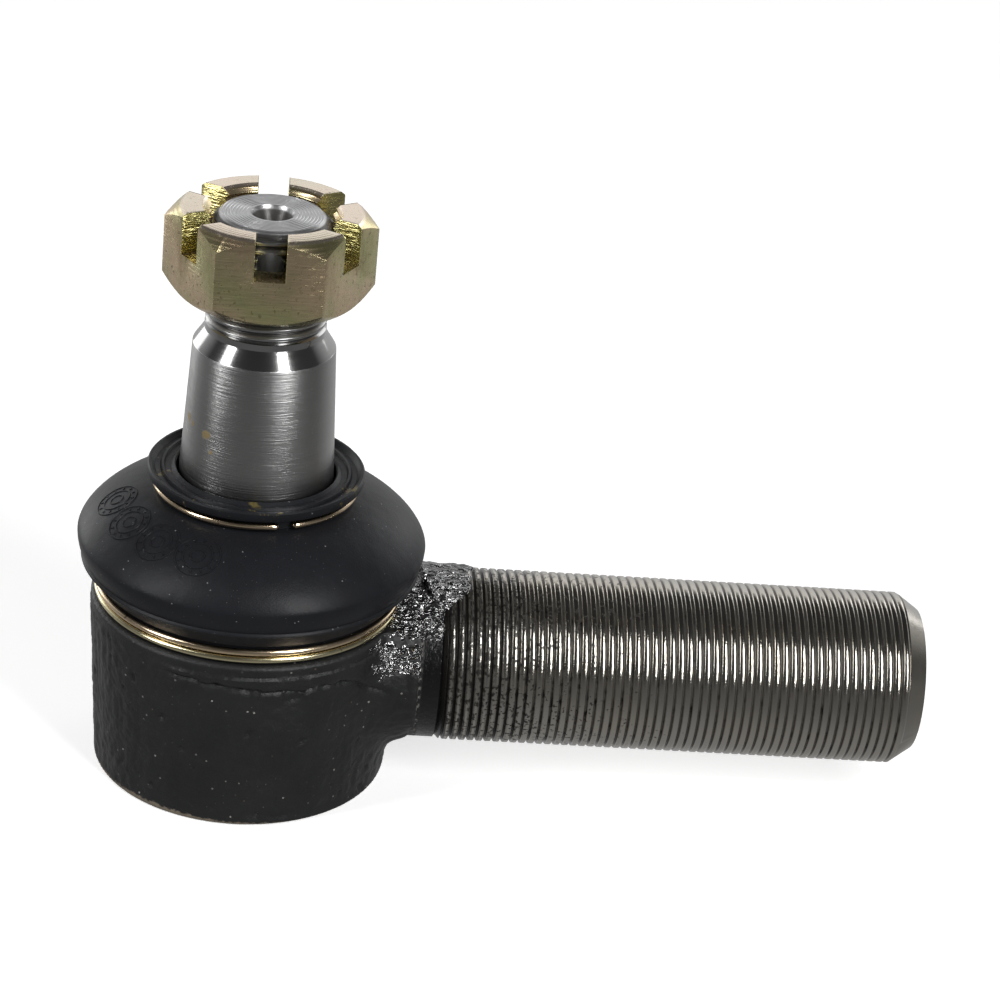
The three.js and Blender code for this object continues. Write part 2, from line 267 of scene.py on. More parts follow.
def finished(obj: bpy.types.Object) -> bpy.types.Mesh:
    """The mesh an object has once its modifiers are worked in."""
    graph = bpy.context.evaluated_depsgraph_get()
    return bpy.data.meshes.new_from_object(obj.evaluated_get(graph), depsgraph=graph)


def placed(mesh: bpy.types.Mesh, name: str) -> bpy.types.Object:
    """Puts a mesh into the scene at the origin, unturned and unscaled."""
    obj = bpy.data.objects.new(name, mesh)
    bpy.context.scene.collection.objects.link(obj)
    return obj


def worked(mesh: bpy.types.Mesh, kind: str, **settings: object) -> bpy.types.Mesh:
    """Runs one modifier over a mesh and keeps the result.

    Args:
        mesh: The mesh to work on.
        kind: The modifier's type.
        **settings: Its settings.

    Returns:
        The new mesh.
    """
    obj = placed(mesh, "blank")
    modifier = obj.modifiers.new(kind.lower(), kind)
    for key, value in settings.items():
        setattr(modifier, key, value)
    result = finished(obj)
    bpy.data.objects.remove(obj)
    return result


def combine(base: bpy.types.Mesh, how: Joinery, *tools: bpy.types.Mesh) -> bpy.types.Mesh:
    """Joins, cuts or keeps the common part of closed meshes.

    Args:
        base: The solid that is worked on.
        how: What the tools do to it.
        *tools: The other solids, one after another.

    Returns:
        The new mesh.
    """
    for tool in tools:
        cutter = placed(tool, "cutter")
        base = worked(base, "BOOLEAN", object=cutter, operation=how.value, solver="MANIFOLD")
        bpy.data.objects.remove(cutter)
    return base


def shaded(mesh: bpy.types.Mesh, angle: float = 32.0) -> bpy.types.Mesh:
    """Shades a mesh smooth, with sharp edges where faces meet above an angle in degrees."""
    mesh.shade_smooth()
    mesh.set_sharp_from_angle(angle=math.radians(angle))
    return mesh


@dataclass(frozen=True)
class ThreadForm:
    """A metric thread as a helix of real geometry."""

    pitch: float
    crest: float
    steps: int = 96
    depth_share: float = 0.46
    land: float = 0.28

    @property
    def root(self) -> float:
        """Radius at the bottom of the groove."""
        return self.crest - self.depth_share * self.pitch

    def outline(self) -> list[Point]:
        """One pitch of the thread, from crest to crest."""
        p, half = self.pitch, self.land / 2
        raw = [(self.crest, 0), (self.crest, half * p), (self.root, 0.45 * p),
               (self.root, 0.55 * p), (self.crest, (1 - half) * p), (self.crest, p)]
        return soften(raw, 0.05 * p, steps=1)

    def rod(self, start: float, end: float) -> bpy.types.Mesh:
        """A closed rod about +Z with the thread over its whole length.

        Args:
            start: Lowest height in millimetres.
            end: Highest height in millimetres.

        Returns:
            The rod, with its ends still ramped like a cut helix.
        """
        bm = bmesh.new()
        strip = chain(bm, [(r, start + z) for r, z in self.outline()])
        rise = Vector((0, 0, self.pitch * MM / self.steps))
        bmesh.ops.spin(bm, geom=strip, cent=(0, 0, 0), axis=(0, 0, 1), dvec=rise, angle=math.tau,
                       steps=self.steps, use_merge=False)
        one_turn = [*bm.verts, *bm.edges, *bm.faces]
        for turn in range(1, math.ceil((end - start) / self.pitch)):
            copy = bmesh.ops.duplicate(bm, geom=one_turn)["geom"]
            verts = [v for v in copy if isinstance(v, bmesh.types.BMVert)]
            bmesh.ops.translate(bm, verts=verts, vec=(0, 0, turn * self.pitch * MM))
        bmesh.ops.remove_doubles(bm, verts=bm.verts, dist=1e-5)
        rims = [e for e in bm.edges if e.is_boundary]
        caps = bmesh.ops.holes_fill(bm, edges=rims, sides=0)["faces"]
        bmesh.ops.poke(bm, faces=caps)
        bmesh.ops.recalc_face_normals(bm, faces=bm.faces)
        return as_mesh(bm, "thread")


# ------------------------------------------------------------------ shader tools


class Wire:
    """A shader socket that takes part in Python arithmetic."""

    def __init__(self, bench: "Bench", socket: bpy.types.NodeSocket) -> None:
        """Keeps the socket and the bench that its nodes are laid on."""
        self.bench = bench
        self.socket = socket

    def _math(self, operation: str, *values: "Wire | float", clamp: bool = False) -> "Wire":
        """Adds one Math node."""
        return self.bench.node("ShaderNodeMath", {"operation": operation, "use_clamp": clamp},
                               dict(enumerate(values)))

    def __add__(self, other: "Wire | float") -> "Wire":
        """Sum."""
        return self._math("ADD", self, other)

    __radd__ = __add__

    def __sub__(self, other: "Wire | float") -> "Wire":
        """Difference."""
        return self._math("SUBTRACT", self, other)

    def __rsub__(self, other: float) -> "Wire":
        """Difference from a number."""
        return self._math("SUBTRACT", other, self)

    def __mul__(self, other: "Wire | float") -> "Wire":
        """Product."""
        return self._math("MULTIPLY", self, other)

    __rmul__ = __mul__

    def __truediv__(self, other: "Wire | float") -> "Wire":
        """Quotient."""
        return self._math("DIVIDE", self, other)

    def __pow__(self, other: float) -> "Wire":
        """Power."""
        return self._math("POWER", self, other)

    def __abs__(self) -> "Wire":
        """Size without sign."""
        return self._math("ABSOLUTE", self)

    def above(self, level: float, soft: float) -> "Wire":
        """0 below level, 1 above it, with a soft edge of the given width."""
        return ((self - level) / soft + 0.5).clamped()

    def clamped(self) -> "Wire":
        """Held between 0 and 1."""
        return self._math("ADD", self, 0.0, clamp=True)

    def sine(self) -> "Wire":
        """Sine."""
        return self._math("SINE", self)

    def fraction(self) -> "Wire":
        """What is left above the whole number below."""
        return self._math("FRACT", self)

    def larger(self, other: "Wire | float") -> "Wire":
        """The larger of two."""
        return self._math("MAXIMUM", self, other)


Colour = tuple[float, float, float]


@dataclass(frozen=True)
class Spot:
    """One ragged blot: direction in degrees, distance from the stud's axis, height and size."""

    turn: float
    far: float
    height: float
    size: float


class Bench:
    """A node tree with its maker's tools."""

    def __init__(self, tree: bpy.types.NodeTree, coordinates: str, scale: float) -> None:
        """Takes over a tree and lays out the place that its patterns read.

        Args:
            tree: The tree to work in.
            coordinates: Which texture coordinates give the place.
            scale: What the place is multiplied by.
        """
        self.tree = tree
        place = self.node("ShaderNodeTexCoord", {}, {}, coordinates)
        self.place = self.node("ShaderNodeVectorMath", {"operation": "SCALE"}, {0: place, "Scale": scale})

    def node(self, kind: str, settings: dict, inputs: dict, output: "str | int" = 0) -> Wire:
        """Adds any node.

        Args:
            kind: The node's type.
            settings: Properties, set first. The key stops holds a ramp's (position, colour) pairs.
            inputs: Values or wires by socket name or number.
            output: The output socket to return.

        Returns:
            The chosen output.
        """
        node = self.tree.nodes.new(kind)
        for key, value in settings.items():
            if key == "stops":
                self._set_stops(node.color_ramp, value)
            else:
                setattr(node, key, value)
        for key, value in inputs.items():
            if isinstance(value, Wire):
                self.tree.links.new(value.socket, node.inputs[key])
            else:
                node.inputs[key].default_value = value
        return Wire(self, node.outputs[output])

    @staticmethod
    def _set_stops(ramp: bpy.types.ColorRamp, stops: Sequence[tuple]) -> None:
        """Fills a colour ramp."""
        while len(ramp.elements) < len(stops):
            ramp.elements.new(1.0)
        for element, (position, colour) in zip(ramp.elements, stops):
            element.position = position
            element.color = (*colour, 1.0)

    def axis(self, index: int) -> Wire:
        """One coordinate of the place on the piece, in millimetres: 0, 1 or 2."""
        return self.node("ShaderNodeSeparateXYZ", {}, {0: self.place}, index)

    def stretched(self, scale: Sequence[float], turn: Sequence[float] = (0, 0, 0)) -> Wire:
        """The place after a turn and stretch, for patterns that aren't even."""
        return self.node("ShaderNodeMapping", {}, {"Vector": self.place, "Rotation": tuple(turn),
                                                    "Scale": tuple(scale)})

    def grain(self, size: float, detail: float = 3.0, rough: float = 0.55, where: "Wire | None" = None,
              warp: float = 0.0) -> Wire:
        """Cloudy noise with features of a size in millimetres, from 0 to 1."""
        return self.node("ShaderNodeTexNoise", {}, {"Vector": where or self.place, "Scale": 1 / size,
                                                     "Detail": detail, "Roughness": rough,
                                                     "Distortion": warp}, "Fac")

    def cells(self, size: float, where: "Wire | None" = None) -> Wire:
        """Distance to scattered points with a spacing in millimetres."""
        return self.node("ShaderNodeTexVoronoi", {}, {"Vector": where or self.place, "Scale": 1 / size},
                         "Distance")

    def specks(self, spacing: float, share: float, softness: float = 0.03) -> Wire:
        """Small scattered dots: 1 on a dot, 0 elsewhere."""
        return 1 - self.cells(spacing).above(share, softness)

    def mix(self, factor: "Wire | float", first: "Wire | Colour", second: "Wire | Colour") -> Wire:
        """Blends two colours."""
        def paint(c: "Wire | Colour") -> "Wire | tuple":
            return c if isinstance(c, Wire) else (*c, 1.0)
        return self.node("ShaderNodeMix", {"data_type": "RGBA"},
                         {0: factor, 6: paint(first), 7: paint(second)}, 2)

    def ramp(self, factor: Wire, *stops: tuple[float, Colour]) -> Wire:
        """Colours along a value."""
        return self.node("ShaderNodeValToRGB", {"stops": stops}, {0: factor}, "Color")

    def around(self, height: "float | None" = None) -> tuple[Wire, Wire]:
        """Distance and direction from the stud's axis, or from the shank's at a given height."""
        if height is None:
            across, up = self.axis(0), self.axis(1)
        else:
            across, up = -1 * self.axis(1), self.axis(2) - height
        direction = self.node("ShaderNodeMath", {"operation": "ARCTAN2"}, {0: up, 1: across})
        return (across * across + up * up) ** 0.5, direction * (180 / math.pi)


class PaintBench(Bench):
    """One material's node tree, with its surface shader."""

    def __init__(self, name: str) -> None:
        """Starts a material with a bare surface shader and places in millimetres."""
        self.material = bpy.data.materials.new(name)
        self.material.use_nodes = True
        tree = self.material.node_tree
        tree.nodes.clear()
        super().__init__(tree, "Object", 1 / MM)
        output = tree.nodes.new("ShaderNodeOutputMaterial")
        self.surface = tree.nodes.new("ShaderNodeBsdfPrincipled")
        tree.links.new(self.surface.outputs["BSDF"], output.inputs["Surface"])

    def spot(self, blot: Spot) -> Wire:
        """1 on a ragged blot, 0 elsewhere."""
        angle = math.radians(blot.turn)
        x, y = self.axis(0) - blot.far * math.cos(angle), self.axis(1) - blot.far * math.sin(angle)
        z = self.axis(2) - blot.height
        reach = (x * x + y * y + z * z) ** 0.5 + self.grain(0.9, 3.0, 0.6) * blot.size * 1.6
        return 1 - reach.above(1.7 * blot.size, 0.3 * blot.size)

    def bump(self, height: Wire, depth: float, under: "Wire | None" = None) -> Wire:
        """A normal from a height wire, with depth in millimetres."""
        inputs = {"Height": height, "Distance": depth * MM, "Strength": 1.0}
        if under is not None:
            inputs["Normal"] = under
        return self.node("ShaderNodeBump", {}, inputs, "Normal")

    def finish(self, **inputs: object) -> bpy.types.Material:
        """Connects the surface shader, with _ for spaces in the socket names."""
        for key, value in inputs.items():
            socket = self.surface.inputs[key.replace("_", " ")]
            if isinstance(value, Wire):
                self.tree.links.new(value.socket, socket)
            else:
                socket.default_value = value
        return self.material


# ------------------------------------------------------------------ finishes


@dataclass(frozen=True)
class ForgingPaint:
    """Satin black paint over a hammered forging, thin and brownish at the foot's edge."""

    neck_end: float
    bare: Colour = (0.24, 0.20, 0.15)
    paint: Colour = (0.0075, 0.0078, 0.009)
    worn: Colour = (0.020, 0.020, 0.021)
    rust: Colour = (0.10, 0.070, 0.045)
    thick: Colour = (0.003, 0.003, 0.0035)
    dust: Colour = (0.42, 0.40, 0.36)
    gloss: float = 0.34

    def make(self) -> bpy.types.Material:
        """Lays out the paint.

        Returns:
            The material.
        """
        b = PaintBench("forging_paint")
        x, z = b.axis(0), b.axis(2)
        _, direction = b.around()
        cloud = b.grain(7.0, 4.0)
        fine = b.grain(0.9, 4.0, 0.6)
        left = 1 - (abs(direction + 125.0) / 60.0).clamped()
        foot = 1 - (z + fine * 1.4).above(1.0 + left * 0.9, 0.3)
        lip = (1 - (abs(x - self.neck_end) / 0.35).clamped()) * b.grain(0.8, 2.0).above(0.54, 0.06)
        dust = (b.specks(2.3, 0.08) + b.specks(1.1, 0.06) * 0.5) * cloud.above(0.50, 0.2)
        brown = b.specks(3.1, 0.06) * b.grain(11.0).above(0.55, 0.1)
        paint = b.mix(cloud, self.paint, self.worn)
        paint = b.mix(brown.clamped(), paint, self.rust)
        paint = b.mix((dust * 0.8 + lip * 0.6).clamped(), paint, self.dust)
        paint = b.mix((foot * 0.85).clamped(), paint, self.bare)
        collar = x.above(self.neck_end + 0.4, 0.3)
        paint = b.mix(collar * 0.7, paint, self.thick)
        rough = (self.gloss + cloud * 0.18 + fine * 0.12) * (1 - collar * 0.55) + foot * 0.1 + dust * 0.3
        bumps = b.bump(fine, 0.13)
        bumps = b.bump(b.grain(0.28, 2.0), 0.03, bumps)
        return b.finish(Base_Color=paint, Roughness=rough.clamped(), Normal=bumps, Specular_IOR_Level=0.5)


@dataclass(frozen=True)
class WrinkledPaint:
    """Thick glossy paint that dried in fine wrinkles."""

    paint: Colour = (0.0045, 0.0045, 0.005)
    thin: Colour = (0.012, 0.012, 0.012)
    gloss: float = 0.05
    index: float = 2.3

    def make(self) -> bpy.types.Material:
        """Lays out the paint.

        Returns:
            The material.
        """
        b = PaintBench("wrinkled_paint")
        cloud = b.grain(3.0, 3.0)
        folds = b.grain(0.85, 2.0, 0.5, b.stretched((0.34, 1.0, 1.0)), 0.9)
        swell = b.grain(2.4, 2.0).above(0.5, 0.5)
        bumps = b.bump(folds * (0.45 + swell * 0.7), 1.5)
        bumps = b.bump(b.grain(0.4, 2.0), 0.08, bumps)
        return b.finish(Base_Color=b.mix(cloud, self.paint, self.thin), Normal=bumps, IOR=self.index,
                        Specular_IOR_Level=1.0, Roughness=(self.gloss + cloud * 0.08).clamped())


@dataclass(frozen=True)
class CutThread:
    """Turned steel with oil and dirt in patches, and painted shade in the thread's roots."""

    name: str
    crest: float
    root: float
    pitch: float
    start: float
    height: float
    steel: Colour = (0.45, 0.445, 0.43)
    warm: Colour = (0.52, 0.475, 0.395)
    # one colour for oil, dirt and the painted shade in the roots
    oil_and_shade: Colour = (0.028, 0.026, 0.023)
    dirt_from: float = 33.0
    dirt_to: float = 112.0
    chamfer: float = 112.8

    def make(self) -> bpy.types.Material:
        """Lays out the steel.

        Returns:
            The material.
        """
        b = PaintBench(self.name)
        reach, direction = b.around(self.height)
        along = b.axis(0)
        depth = self.crest - self.root
        near = 1 - (along - self.dirt_from).above(9.0, 16.0)
        phase = (along - self.start) / self.pitch + direction / 360 + 0.25
        crest = abs(phase.fraction() - 0.5)
        flank = 1 - crest.above(0.37, 0.06)
        # painted shade: darker towards the bottom of the thread's grooves
        root_shade = 1 - reach.above(self.crest - 0.42 * depth, 0.35 * depth)
        rim = 1 - reach.above(self.crest - 0.16 * depth, 0.2 * depth)
        travel = (along - self.dirt_from) / (self.dirt_to - self.dirt_from)
        spread = 1 - travel.clamped() * 0.42
        patch = b.grain(2.6, 4.0, 0.62)
        flecks = b.grain(0.75, 3.0, 0.6)
        pooled = patch.above(0.60, 0.16) * root_shade
        # painted root shade, plus oil on the flanks near the neck and pooled in the roots
        oil_and_root_shade = (root_shade * 0.62 + rim.larger(flank) * near * 0.9 + pooled * 0.4).clamped()
        blots = (flecks * spread + patch * 0.24 * spread).above(0.64, 0.05)
        # dirt blots together with the painted root shade, less on the chamfered end
        dirt_and_root_shade = (oil_and_root_shade + blots * 0.95).clamped() * (1 - along.above(self.chamfer, 0.3) * 0.75)
        tint = b.mix(b.grain(14.0, 2.0), self.steel, self.warm)
        worn = b.grain(0.5, 2.0, 0.5)
        colour = b.mix(dirt_and_root_shade, tint, self.oil_and_shade)
        rough = 0.10 + worn * 0.09 + dirt_and_root_shade * 0.14
        metal = 1 - dirt_and_root_shade * 0.55
        bumps = b.bump(b.grain(0.35, 3.0), 0.02)
        return b.finish(Base_Color=colour, Metallic=metal.clamped(), Roughness=rough.clamped(),
                        Normal=bumps)


@dataclass(frozen=True)
class GroundStud:
    """Ground and polished steel, with a dull turned end face painted lighter as painted light, painted shade
    in its holes and thread roots, and a few spots of grease.
    """

    cone_foot: float
    cone_top: float
    thread_start: float
    end: float
    thread_root: float
    hole: float
    hole_height: float
    steel: Colour = (0.45, 0.45, 0.445)
    # paler steel for the end face, a painted highlight
    end_face_highlight: Colour = (0.62, 0.62, 0.63)
    # oil colour, here used for the painted shade in roots and holes
    oil_and_shade: Colour = (0.035, 0.032, 0.028)
    grease: Colour = (0.30, 0.21, 0.055)
    spots: tuple[Spot, ...] = (Spot(-159.0, 12.5, 65.6, 0.8), Spot(-152.0, 12.5, 65.2, 0.5),
                               Spot(-134.0, 12.5, 64.6, 0.9), Spot(-128.0, 12.5, 62.0, 0.4))

    def make(self) -> bpy.types.Material:
        """Lays out the steel.

        Returns:
            The material.
        """
        b = PaintBench("ground_stud")
        z = b.axis(2)
        reach, direction = b.around()
        lines = b.grain(1.0, 3.0, 0.6, b.stretched((0.06, 0.06, 6.0)))
        cloud = b.grain(5.0, 3.0)
        thread = z.above(self.thread_start, 0.3) * reach.above(self.thread_root - 0.6, 0.2)
        # painted shade in the thread's roots
        root_shade = thread * (1 - reach.above(self.thread_root + 0.35, 0.35))
        polished = z.above(self.cone_top, 0.15) * (1 - z.above(self.thread_start, 0.3))
        # the turned end face, which gets a paler colour as painted light
        face = z.above(self.end - 0.9, 0.3) * (1 - reach.above(9.1, 0.4)) * reach.above(3.2, 0.3)
        x, up = b.axis(0), z - self.hole_height
        off = (x * x + up * up) ** 0.5
        # painted shade inside the cross hole
        hole_shade = (1 - off.above(self.hole + 0.05, 0.15)) * (1 - reach.above(9.75, 0.2))
        # painted shade inside the centre hole
        drilled = z.above(self.end - 7.5, 0.2) * (1 - reach.above(3.3, 0.3))
        hole_shade = hole_shade.larger(drilled * (1 - z.above(self.end - 0.5, 0.3)))
        blot = b.grain(1.3, 2.0, 0.5) + b.grain(4.0) * 0.5
        low = 1 - z.above(self.cone_foot + 13.0, 7.0)
        side = 1 - (abs(direction + 152.0) / 26.0).clamped()
        grease = (blot * (0.55 + side * 0.45)).above(1.04, 0.05) * low
        for spot in self.spots:
            grease = grease.larger(b.spot(spot))
        colour = b.mix(lines * 0.45 + cloud * 0.3, self.steel, (0.30, 0.30, 0.30))
        # painted highlight: the end face paler than the rest
        colour = b.mix(face * 0.8, colour, self.end_face_highlight)
        # painted shade in the thread's roots and the holes, in the oil colour
        colour = b.mix((root_shade * 0.85).larger(hole_shade * 0.9).clamped(), colour, self.oil_and_shade)
        colour = b.mix((grease * 0.8).clamped(), colour, self.grease)
        rough = 0.25 + lines * 0.10 - polished * 0.16 + face * 0.06 - thread * 0.02
        metal = 1 - grease * 0.75 - root_shade * 0.3 - hole_shade * 0.85
        bumps = b.bump(lines * (1 - polished * 0.95), 0.05)
        return b.finish(Base_Color=colour, Metallic=metal.clamped(), Roughness=rough.clamped(),
                        Normal=bumps)


@dataclass(frozen=True)
class YellowZinc:
    """Yellow passivated zinc over a forged blank: gold with pink and green patches, and a painted highlight
    on the nut's top.
    """

    foot: float
    top: float
    slot_floor: float
    slot_half: float
    slot_turns: tuple[float, ...]
    gold: Colour = (0.68, 0.55, 0.31)
    pink: Colour = (0.84, 0.59, 0.43)
    green: Colour = (0.50, 0.52, 0.26)
    sawn: Colour = (0.60, 0.53, 0.20)
    # near white for the painted highlight on the nut's top
    top_highlight: Colour = (0.92, 0.80, 0.70)
    stain: Colour = (0.14, 0.10, 0.05)

    def make(self) -> bpy.types.Material:
        """Lays out the plating.

        Returns:
            The material.
        """
        b = PaintBench("yellow_zinc_plate")
        reach, direction = b.around()
        z = b.axis(2)
        streak = b.grain(1.0, 3.0, 0.6, b.stretched((0.16, 0.16, 2.2)))
        patch = b.grain(6.0, 3.0, 0.6)
        wave = (direction * (math.pi / 60) + z * 0.35 + patch * 6.0).sine() * 0.5 + 0.5
        hue = b.mix(wave, self.green, self.pink)
        colour = b.mix((0.15 + b.grain(2.5, 3.0) * 0.5).clamped(), hue, self.gold)
        x, y = b.axis(0), b.axis(1)
        sawn = 0 * x
        for turn in self.slot_turns:
            sine, cosine = math.sin(math.radians(turn)), math.cos(math.radians(turn))
            wall = 1 - (abs(abs(x * sine - y * cosine) - self.slot_half) / 0.16).clamped()
            sawn = sawn.larger(wall)
        sawn = sawn * z.above(self.slot_floor, 0.2)
        marks = b.grain(1.0, 2.0, 0.6, b.stretched((0.3, 0.3, 2.6), turn=(0.6, 0.6, 0)))
        colour = b.mix((sawn * 0.8).clamped(), colour, self.sawn)
        stain = b.grain(0.8, 3.0, 0.6).above(0.64, 0.08) * 0.6 + b.specks(1.7, 0.07) * 0.5
        edge = z.above(self.foot + 0.4, 0.4) * (1 - z.above(self.top - 0.4, 0.4))
        colour = b.mix((stain * edge).clamped(), colour, self.stain)
        colour = b.mix((streak * 0.35).clamped(), colour, self.green)
        # painted highlight: paler colour on the nut's top, outside the slots
        top_highlight = z.above(self.top - 0.35, 0.2) * (1 - sawn)
        turning = z.above(self.top - 1.6, 1.2)
        colour = b.mix((top_highlight * 0.7).clamped(), colour, self.top_highlight)
        rough = 0.18 + streak * 0.14 + stain * 0.2
        forged = (1 - sawn) * (1 - turning)
        bumps = b.bump(streak * forged, 0.14)
        bumps = b.bump(b.grain(1.7, 3.0, 0.55) * forged, 0.08, bumps)
        bumps = b.bump((reach * 9.0).sine() * turning * (1 - sawn), 0.006, bumps)
        bumps = b.bump(marks * sawn, 0.3, bumps)
        return b.finish(Base_Color=colour, Metallic=0.96, Roughness=rough.clamped(), Normal=bumps)


@dataclass(frozen=True)
class BootRubber:
    """Moulded black rubber with a slight bloom, dust and a little grease round the flange."""

    flange: float
    rubber: Colour = (0.010, 0.0106, 0.0125)
    bloom: Colour = (0.020, 0.0212, 0.025)
    dust: Colour = (0.36, 0.36, 0.36)
    grease: Colour = (0.16, 0.125, 0.04)
    smears: tuple[tuple[float, float, float], ...] = ((-89.5, 14.6, 1.1), (-22.9, 17.0, 1.3),
                                                      (-165.0, 16.5, 1.0))

    def make(self) -> bpy.types.Material:
        """Lays out the rubber.

        Returns:
            The material.
        """
        b = PaintBench("boot_rubber_moulded")
        z = b.axis(2)
        cloud = b.grain(8.0, 4.0, 0.6)
        dust = (b.specks(1.9, 0.065, 0.02) + b.specks(0.9, 0.06) * 0.5) * cloud.above(0.46, 0.2)
        hair = b.cells(3.3, b.stretched((1.0, 0.22, 0.6), turn=(0.3, 0.4, 0.9)))
        hair = (1 - hair.above(0.03, 0.02)) * 0.6
        top = z.above(self.flange - 1.9, 0.4)
        smear = (b.grain(1.7, 3.0, 0.6) + b.grain(5.5) * 0.6).above(1.0, 0.06) * top
        for turn, far, size in self.smears:
            smear = smear.larger(b.spot(Spot(turn, far, self.flange, size)))
        colour = b.mix(cloud, self.rubber, self.bloom)
        colour = b.mix((dust + hair * cloud.above(0.55, 0.1)).clamped() * 0.7, colour, self.dust)
        colour = b.mix((smear * 0.75).clamped(), colour, self.grease)
        rough = 0.35 + cloud * 0.12 - smear * 0.12
        bumps = b.bump(b.grain(0.35, 3.0, 0.6), 0.025)
        bumps = b.bump(b.grain(5.0, 2.0), 0.12, bumps)
        return b.finish(Base_Color=colour, Roughness=rough.clamped(), Normal=bumps,
                        Specular_IOR_Level=0.20)


@dataclass(frozen=True)
class PlatedWire:
    """Yellow plated spring wire, coppery on the upper turn and paler on the lower one."""

    split: float
    copper: Colour = (0.88, 0.70, 0.50)
    pale: Colour = (0.86, 0.80, 0.52)
    stain: Colour = (0.05, 0.035, 0.02)

    def make(self) -> bpy.types.Material:
        """Lays out the plating.

        Returns:
            The material.
        """
        b = PaintBench("plated_wire")
        upper = (b.axis(2) + b.grain(4.0) * 0.3).above(self.split + 0.15, 0.3)
        cloud = b.grain(3.0, 3.0)
        stain = b.grain(0.9, 3.0, 0.6).above(0.68, 0.06)
        colour = b.mix(upper, self.pale, self.copper)
        colour = b.mix(cloud * 0.4, colour, (0.70, 0.56, 0.34))
        colour = b.mix((stain * 0.8).clamped(), colour, self.stain)
        return b.finish(Base_Color=colour, Metallic=1.0, Roughness=(0.14 + cloud * 0.12).clamped(),
                        Normal=b.bump(b.grain(0.4, 2.0), 0.01))


@dataclass(frozen=True)
class PlainFinish:
    """A quiet finish for the pieces that sit inside the joint."""

    name: str
    colour: Colour
    shade: Colour
    metallic: float
    roughness: float
    grain: float = 1.2

    def make(self) -> bpy.types.Material:
        """Lays out the finish.

        Returns:
            The material.
        """
        b = PaintBench(self.name)
        cloud = b.grain(self.grain * 3, 4.0)
        fine = b.grain(self.grain * 0.3, 3.0)
        colour = b.mix(cloud, self.colour, self.shade)
        return b.finish(Base_Color=colour, Metallic=self.metallic, Normal=b.bump(fine, 0.015),
                        Roughness=(self.roughness - 0.08 + cloud * 0.16).clamped())


# ------------------------------------------------------------------ putting pieces on the frame


@dataclass(frozen=True)
class Ride:
    """Which body a piece moves with and what it stands for; its finish slot is not used."""

    body: str
    nodes: tuple[str, ...]
    slot: str

    def put(self, mesh: bpy.types.Mesh, name: str, material: bpy.types.Material) -> bpy.types.Object:
        """Places a piece, paints it and ties it to its body.

        Args:
            mesh: The piece's finished mesh.
            name: The piece's name.
            material: Its finish.

        Returns:
            The piece.
        """
        mesh.name = name
        mesh.materials.clear()
        mesh.materials.append(material)
        obj = placed(mesh, name)
        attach(obj, self.body)
        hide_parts(*self.nodes)
        size = [round(side / MM, 1) for side in obj.dimensions]
        log.info("%s: %s mm, %d faces", name, size, len(mesh.polygons))
        return obj


def eased(value: float, low: float, high: float) -> float:
    """0 below low, 1 above high and an even S between them."""
    t = min(max((value - low) / (high - low), 0.0), 1.0)
    return t * t * (3 - 2 * t)


def ruffle(place: Vector, size: float, octaves: int = 4, ridged: bool = False) -> float:
    """Layered noise about 0 with features of a size in millimetres."""
    total, share, scale = 0.0, 1.0, 1 / size
    for _ in range(octaves):
        value = noise.noise(place * scale)
        total += share * (0.5 - 2 * abs(value) if ridged else value)
        share *= 0.5
        scale *= 2.1
    return total


# ------------------------------------------------------------------ housing


@dataclass(frozen=True)
class ForgedMarks:
    """How deep each mark on the forging's skin is, in millimetres."""

    fine: float = 0.13
    broad: float = 0.16
    streaks: float = 0.16
    seam: float = 0.75
    seam_width: float = 0.42
    ledge: float = 0.26
    chips: float = 0.3
    inset: float = 0.2
    ridges: float = 0.20
    ripples: float = 0.30
    proud: float = 0.1
    neck: float = 0.18


